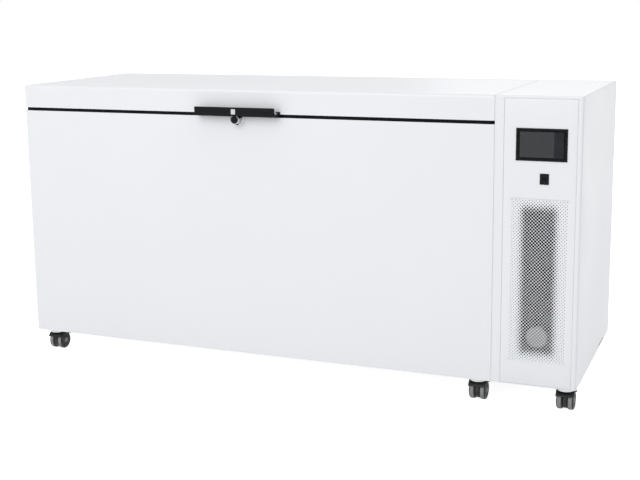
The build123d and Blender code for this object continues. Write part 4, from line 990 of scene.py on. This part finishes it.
def buildLockCollar():
    low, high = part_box("lock_barrel")
    centre = ((low.x + high.x) / 2, high.y, (low.z + high.z) / 2)
    inner, outer = (high.z - low.z) / 2, lock["collarRadius"] * mm
    depth, edge = lock["collarDepth"] * mm, lock["collarEdge"] * mm
    small = edge * lock["edgeShare"]
    rows = ((inner, 0), (outer, 0), (outer, edge - depth), (outer - small, small - depth),
            (outer - edge, -depth), (inner, -depth))
    shape = bmesh.new()
    loft(shape, turnedLoops(rows, centre, lock["sides"]), "joined")
    makePiece("lockCollar", shape, "cabinet", "chrome", smooth=40)


buildLockCollar()
print("front panel, grille, handle and lock built")

# Gasket: a ribbed magnetic profile swept round the lid
gasket = {"width": 26.0, "cornerRadius": 14.0, "cornerSteps": 8, "ribDepth": 2.2, "ribs": 3}


def buildGasket():
    low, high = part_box("lid_gasket")
    width, rib, height = gasket["width"] * mm, gasket["ribDepth"] * mm, high.z - low.z
    path = roundedLoop(low.x, high.x, low.y, high.y, gasket["cornerRadius"] * mm, gasket["cornerSteps"])
    # Section rows are (inset, rise): up the ribbed outside, over the top and down the ribbed inside
    count = 2 * gasket["ribs"]
    side = [(rib if i % 2 else 0, height * i / count) for i in range(count + 1)]
    side += [(width - inset, rise) for inset, rise in reversed(side)]
    shape = bmesh.new()
    loft(shape, [[(x - outX * inset, y - outY * inset, low.z + rise) for (x, y), (outX, outY) in path]
                 for inset, rise in side], "joined")
    makePiece("ribbedGasket", shape, "lid", "dark_rubber", "lid_gasket", smooth=30)


buildGasket()

# Pale strips that lie just behind the seams of the tower, and the black liner that fills the slot in its side,
# partly painted shade: its black stands in for the shade inside the slot
seams = {"set": 0.9, "depth": 8.0, "panelDepth": 2.0, "clear": 0.25, "topSet": 7.0}
sideSlot = {
    "start": 490.0,
    "length": 114.0,
    "height": 5.0,
    "lift": 6.0,
    "set": 0.5,
    "depth": 6.0,
    "clear": 0.1,
    "edge": 0.4,
}


def buildSeams():
    cabinet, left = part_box("cabinet_shell"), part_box("tower_left_panel")
    panel, side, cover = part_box("front_panel"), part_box("side_panel"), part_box("top_cover")
    back, depth, panelDepth, clear = (seams[name] * mm for name in ("set", "depth", "panelDepth", "clear"))
    front, rear = cover[0].y + back, cover[1].y - back
    top, bottom = cover[1].z - seams["topSet"] * mm, cabinet[0].z + clear
    x0, x1 = cabinet[1].x + clear, left[0].x - clear
    shape = bmesh.new()
    # Between the chest and the tower: up the front, over the top and down the back
    for y0, y1, z0 in ((front, front - back + depth, bottom), (rear + back - depth, rear, bottom),
                       (front - back + depth, rear + back - depth, top - depth)):
        addBox(shape, (x0, y0, z0), (x1, y1, top))
    # Round the front panel
    for x0, x1, z0, z1 in (
        (left[1].x, panel[0].x, panel[0].z + clear, cover[0].z - clear),
        (panel[1].x, side[0].x, panel[0].z + clear, cover[0].z - clear),
        (panel[0].x, panel[1].x, panel[1].z, cover[0].z),
    ):
        addBox(shape, (x0, front, z0), (x1, front + panelDepth, z1))
    makePiece("seamStrips", shape, "cabinet", "pale_plastic")

    low, high = side
    clear = sideSlot["clear"] * mm
    start, bottom = low.y + sideSlot["start"] * mm, low.z + sideSlot["lift"] * mm
    face = high.x - sideSlot["set"] * mm
    # The liner's black is partly painted shade for the inside of the slot
    liner = bmesh.new()
    addBox(
        liner, (face - sideSlot["depth"] * mm, start + clear, bottom + clear),
        (face, start + sideSlot["length"] * mm - clear, bottom + sideSlot["height"] * mm - clear),
        sideSlot["edge"] * mm,
    )
    makePiece("slotLiner", liner, "cabinet", "black_plastic", smooth=40)


buildSeams()

# Screws and bolts
screws = {
    "headRadius": 4.0,
    "headRise": 2.0,
    "headRows": ((0.78, 0.92), (0.94, 0.66), (1.0, 0.3), (1.0, 0.0)),  # shares of radius and rise
    "crossLength": 2.4,
    "crossWidth": 0.7,
    "crossDepth": 0.9,
    "crossFloor": 0.5,
    "apart": 12.0,
    "looseTurn": 2 * math.pi,
}
bolts = {
    "sides": 6,
    "radius": 5.0,
    "rise": 4.0,
    "chamfer": 0.8,
    "rim": (1.0, 0.86),  # shares of the radius, outside in
    "dish": (0.55, 0.5),
    "apart": 14.0,
}


# Middle of each separate lump of a CAD node, told apart by distance
def lumpCentres(node, apart):
    centres = []
    for vertex in frame["nodes"][node].data.vertices:
        for lump in centres:
            if (lump[0] / lump[1] - vertex.co).length < apart:
                lump[0] += vertex.co
                lump[1] += 1
                break
        else:
            centres.append([vertex.co.copy(), 1])
    return [total / count for total, count in centres]


# Points round the Z axis at one height
def flatLoop(turns, radius, z):
    return [(radius * math.cos(t), radius * math.sin(t), z) for t in turns]


# A pan head seen along +Z, with a cross recess pressed into its dome
def screwMesh():
    radius, rise = screws["headRadius"] * mm, screws["headRise"] * mm
    half, length, depth = screws["crossWidth"] * mm / 2, screws["crossLength"] * mm, screws["crossDepth"] * mm
    cross = []
    for c, s in ((1, 0), (0, 1), (-1, 0), (0, -1)):
        cross += [(c * x - s * y, s * x + c * y) for x, y in ((length, -half), (length, half), (half, half))]
    turns = [math.atan2(y, x) for x, y in cross]
    share = screws["crossFloor"]
    loops = [[(x * share, y * share, rise - depth) for x, y in cross], [(x, y, rise) for x, y in cross]]
    loops += [flatLoop(turns, radius * out, rise * up) for out, up in screws["headRows"]]
    shape = bmesh.new()
    loft(shape, loops)
    return meshFrom(shape, "crossScrew", "zinc_steel", smooth=35)


def boltMesh():
    radius, rise, edge = (bolts[name] * mm for name in ("radius", "rise", "chamfer"))
    (side, rim), (dish, floor) = bolts["rim"], bolts["dish"]
    rows = ((side, 0), (side, rise - edge), (rim, rise), (dish, rise), (floor, rise - edge))
    shape = bmesh.new()
    loft(shape, [flatLoop(wholeTurn(bolts["sides"]), radius * share, z) for share, z in rows])
    return meshFrom(shape, "hexBolt", "zinc_steel", smooth=20)


def buildFasteners():
    screwSeat, boltSeat = (0, -screws["headRise"] * mm / 2, 0), (0, 0, bolts["rise"] * mm / 2)
    for name, part, node, apart, seat, turn, loose in (
        ("panelScrews", screwMesh(), "panel_screws", screws["apart"], screwSeat, (-math.pi / 2, 0, 0),
         screws["looseTurn"]),
        ("casterBolts", boltMesh(), "caster_bolts", bolts["apart"], boltSeat, (math.pi, 0, 0), 0.0),
    ):
        places = bpy.data.meshes.new(f"{name}Places")
        places.from_pydata([centre + Vector(seat) for centre in lumpCentres(node, apart * mm)], [], [])
        mesh = growMesh(name, scatterTree, "zinc_steel", Part=part, Places=places, Turn=turn, Loose_Turn=loose)
        makePiece(name, mesh, "cabinet", "zinc_steel", node)
        print(name, "at", len(places.vertices), "places")


buildFasteners()

# Fans: twisted blades round a domed hub
fan = {
    "count": 7,
    "hubRadius": 36.0,
    "hubEdge": 5.0,
    "hubEdgeSteps": 5,
    "hubDepth": 14.0,
    "hubWall": 2.0,
    "hubSides": 40,
    "rootSink": 2.0,
    "rootChord": 33.0,
    "tipChord": 30.0,
    "rootPitch": 44.0,
    "tipPitch": 24.0,
    "tipRadius": 76.0,
    "thickness": 1.8,
    "camber": 0.06,
    "sweep": 10.0,
    "bladeRows": 8,
    "bladePoints": 10,
}


def bladeMesh():
    depth, root = fan["hubDepth"] * mm, fan["hubRadius"] - fan["rootSink"]
    loops = []
    for i in range(fan["bladeRows"] + 1):
        share = i / fan["bladeRows"]
        radius = (root + share * (fan["tipRadius"] - root)) * mm
        chord = (fan["rootChord"] + share * (fan["tipChord"] - fan["rootChord"])) * mm
        pitch = math.radians(fan["rootPitch"] + share * (fan["tipPitch"] - fan["rootPitch"]))
        loop = []
        for turn in wholeTurn(fan["bladePoints"]):
            along = chord / 2 * math.cos(turn)
            bulge = fan["thickness"] * mm / 2 * math.sin(turn) + fan["camber"] * chord * abs(math.sin(turn))
            x = along * math.cos(pitch) - bulge * math.sin(pitch)
            y = along * math.sin(pitch) + bulge * math.cos(pitch)
            loop.append((x + fan["sweep"] * mm * share * share, max(-depth, min(depth, y)), radius))
        loops.append(loop)
    shape = bmesh.new()
    loft(shape, loops)
    return meshFrom(shape, "fanBlade", "black_plastic", smooth=50)


# A dome open behind: front face, rounded edge, rim, and the inside with its floor
def hubShape(centre):
    radius, edge, depth, wall = (fan[name] * mm for name in ("hubRadius", "hubEdge", "hubDepth", "hubWall"))
    rows = [(0, -depth / 2)]
    rows += [(radius - edge * (1 - math.sin(t)), -depth / 2 + edge * (1 - math.cos(t)))
             for t in quarterTurn(fan["hubEdgeSteps"])]
    rows += [(radius, depth / 2), (radius - wall, depth / 2), (radius - wall, 0), (0, 0)]
    shape = bmesh.new()
    loft(shape, turnedLoops(rows, centre, fan["hubSides"]), "open")
    bmesh.ops.remove_doubles(shape, verts=shape.verts, dist=weldDistance)
    return shape


def buildFans():
    # The upper hub is black where the lower one, the same part, is grey: the upper hub's black is painted shade
    for level, hubSlot in (("Lower", "fan_plastic"), ("Upper", "black_plastic")):
        body, node = f"fan_{level.lower()}", f"fan_blades_{level.lower()}"
        low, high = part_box(node)
        centre = (low + high) / 2
        mesh = growMesh(
            f"fanBlades{level}", runTree, "black_plastic", Part=bladeMesh(), Count=fan["count"],
            Start=tuple(centre), Step=(0, 0, 0), Turn=(0, 2 * math.pi / fan["count"], 0),
        )
        makePiece(f"fanBlades{level}", mesh, body, "black_plastic", node)
        makePiece(f"fanHub{level}", hubShape(centre), body, hubSlot, smooth=40)


buildFans()

# Condenser: close fins in their end plates
condenser = {"fins": 76, "finThickness": 0.25, "height": 544.0, "endPlate": 2.0, "plateEdge": 0.3}


def buildCondenser():
    low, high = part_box("condenser_fins")
    plate, edge = condenser["endPlate"] * mm, condenser["plateEdge"] * mm
    half, count = condenser["finThickness"] * mm / 2, condenser["fins"]
    bottom = high.z - condenser["height"] * mm
    fin = bmesh.new()
    addBox(fin, (-half, low.y, bottom + plate), (half, high.y, high.z - plate))
    plates = bmesh.new()
    for x in (low.x, high.x - plate):
        addBox(plates, (x, low.y, low.z), (x + plate, high.y, high.z), edge)
    for z in (bottom, high.z - plate):
        addBox(plates, (low.x + plate, low.y, z), (high.x - plate, high.y, z + plate), edge)
    step = (high.x - low.x - 2 * plate) / (count + 1)
    mesh = growMesh(
        "condenserFins", runTree, "fin_aluminium", Part=meshFrom(fin, "fin", "fin_aluminium"),
        Holder=meshFrom(plates, "plates", "fin_aluminium"), Count=count, Start=(low.x + plate + step, 0, 0),
        Step=(step, 0, 0),
    )
    makePiece("condenserFins", mesh, "cabinet", "fin_aluminium", "condenser_fins")


buildCondenser()

# Power inlet: three flat pins in the socket; data port: a tongue with its contacts
sockets = {
    "inletDepth": 16.0,
    "pinPlaces": ((-7.0, -2.5), (0.0, 2.5), (7.0, -2.5)),
    "pinSize": (2.0, 4.0),
    "pinReach": 13.0,
    "pinEdge": 0.3,
    "portDepth": 12.0,
    "tongueSize": (10.4, 1.6),
    "tongueReach": 9.0,
    "tongueEdge": 0.2,
    "sunk": 0.5,
    "contacts": 4,
    "contactPitch": 2.2,
    "contactSize": (1.0, 0.25),
    "contactReach": 8.0,
}


def buildSocketDetails():
    low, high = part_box("power_inlet")
    middle, floorY = (low + high) / 2, high.y - sockets["inletDepth"] * mm
    width, height = (s * mm / 2 for s in sockets["pinSize"])
    sunk = sockets["sunk"] * mm
    pins = bmesh.new()
    for dx, dz in sockets["pinPlaces"]:
        x, z = middle.x + dx * mm, middle.z + dz * mm
        addBox(pins, (x - width, floorY - sunk, z - height),
               (x + width, floorY + sockets["pinReach"] * mm, z + height), sockets["pinEdge"] * mm)
    makePiece("inletPins", pins, "cabinet", "chrome", smooth=40)

    low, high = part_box("data_port")
    middle, floorY = (low + high) / 2, low.y + sockets["portDepth"] * mm
    width, height = (s * mm for s in sockets["tongueSize"])
    tongue = bmesh.new()
    addBox(tongue, (middle.x - width / 2, floorY - sockets["tongueReach"] * mm, middle.z),
           (middle.x + width / 2, floorY + sunk, middle.z + height), sockets["tongueEdge"] * mm)
    makePiece("portTongue", tongue, "cabinet", "black_plastic", smooth=40)
    wide, thick = (s * mm for s in sockets["contactSize"])
    front, count = floorY - sockets["contactReach"] * mm, sockets["contacts"]
    contacts = bmesh.new()
    for i in range(count):
        x = middle.x + (i - (count - 1) / 2) * sockets["contactPitch"] * mm
        addBox(contacts, (x - wide / 2, front, middle.z - thick), (x + wide / 2, floorY, middle.z))
    makePiece("portContacts", contacts, "cabinet", "copper")


buildSocketDetails()
print("gasket, fasteners, fans, condenser and sockets built")
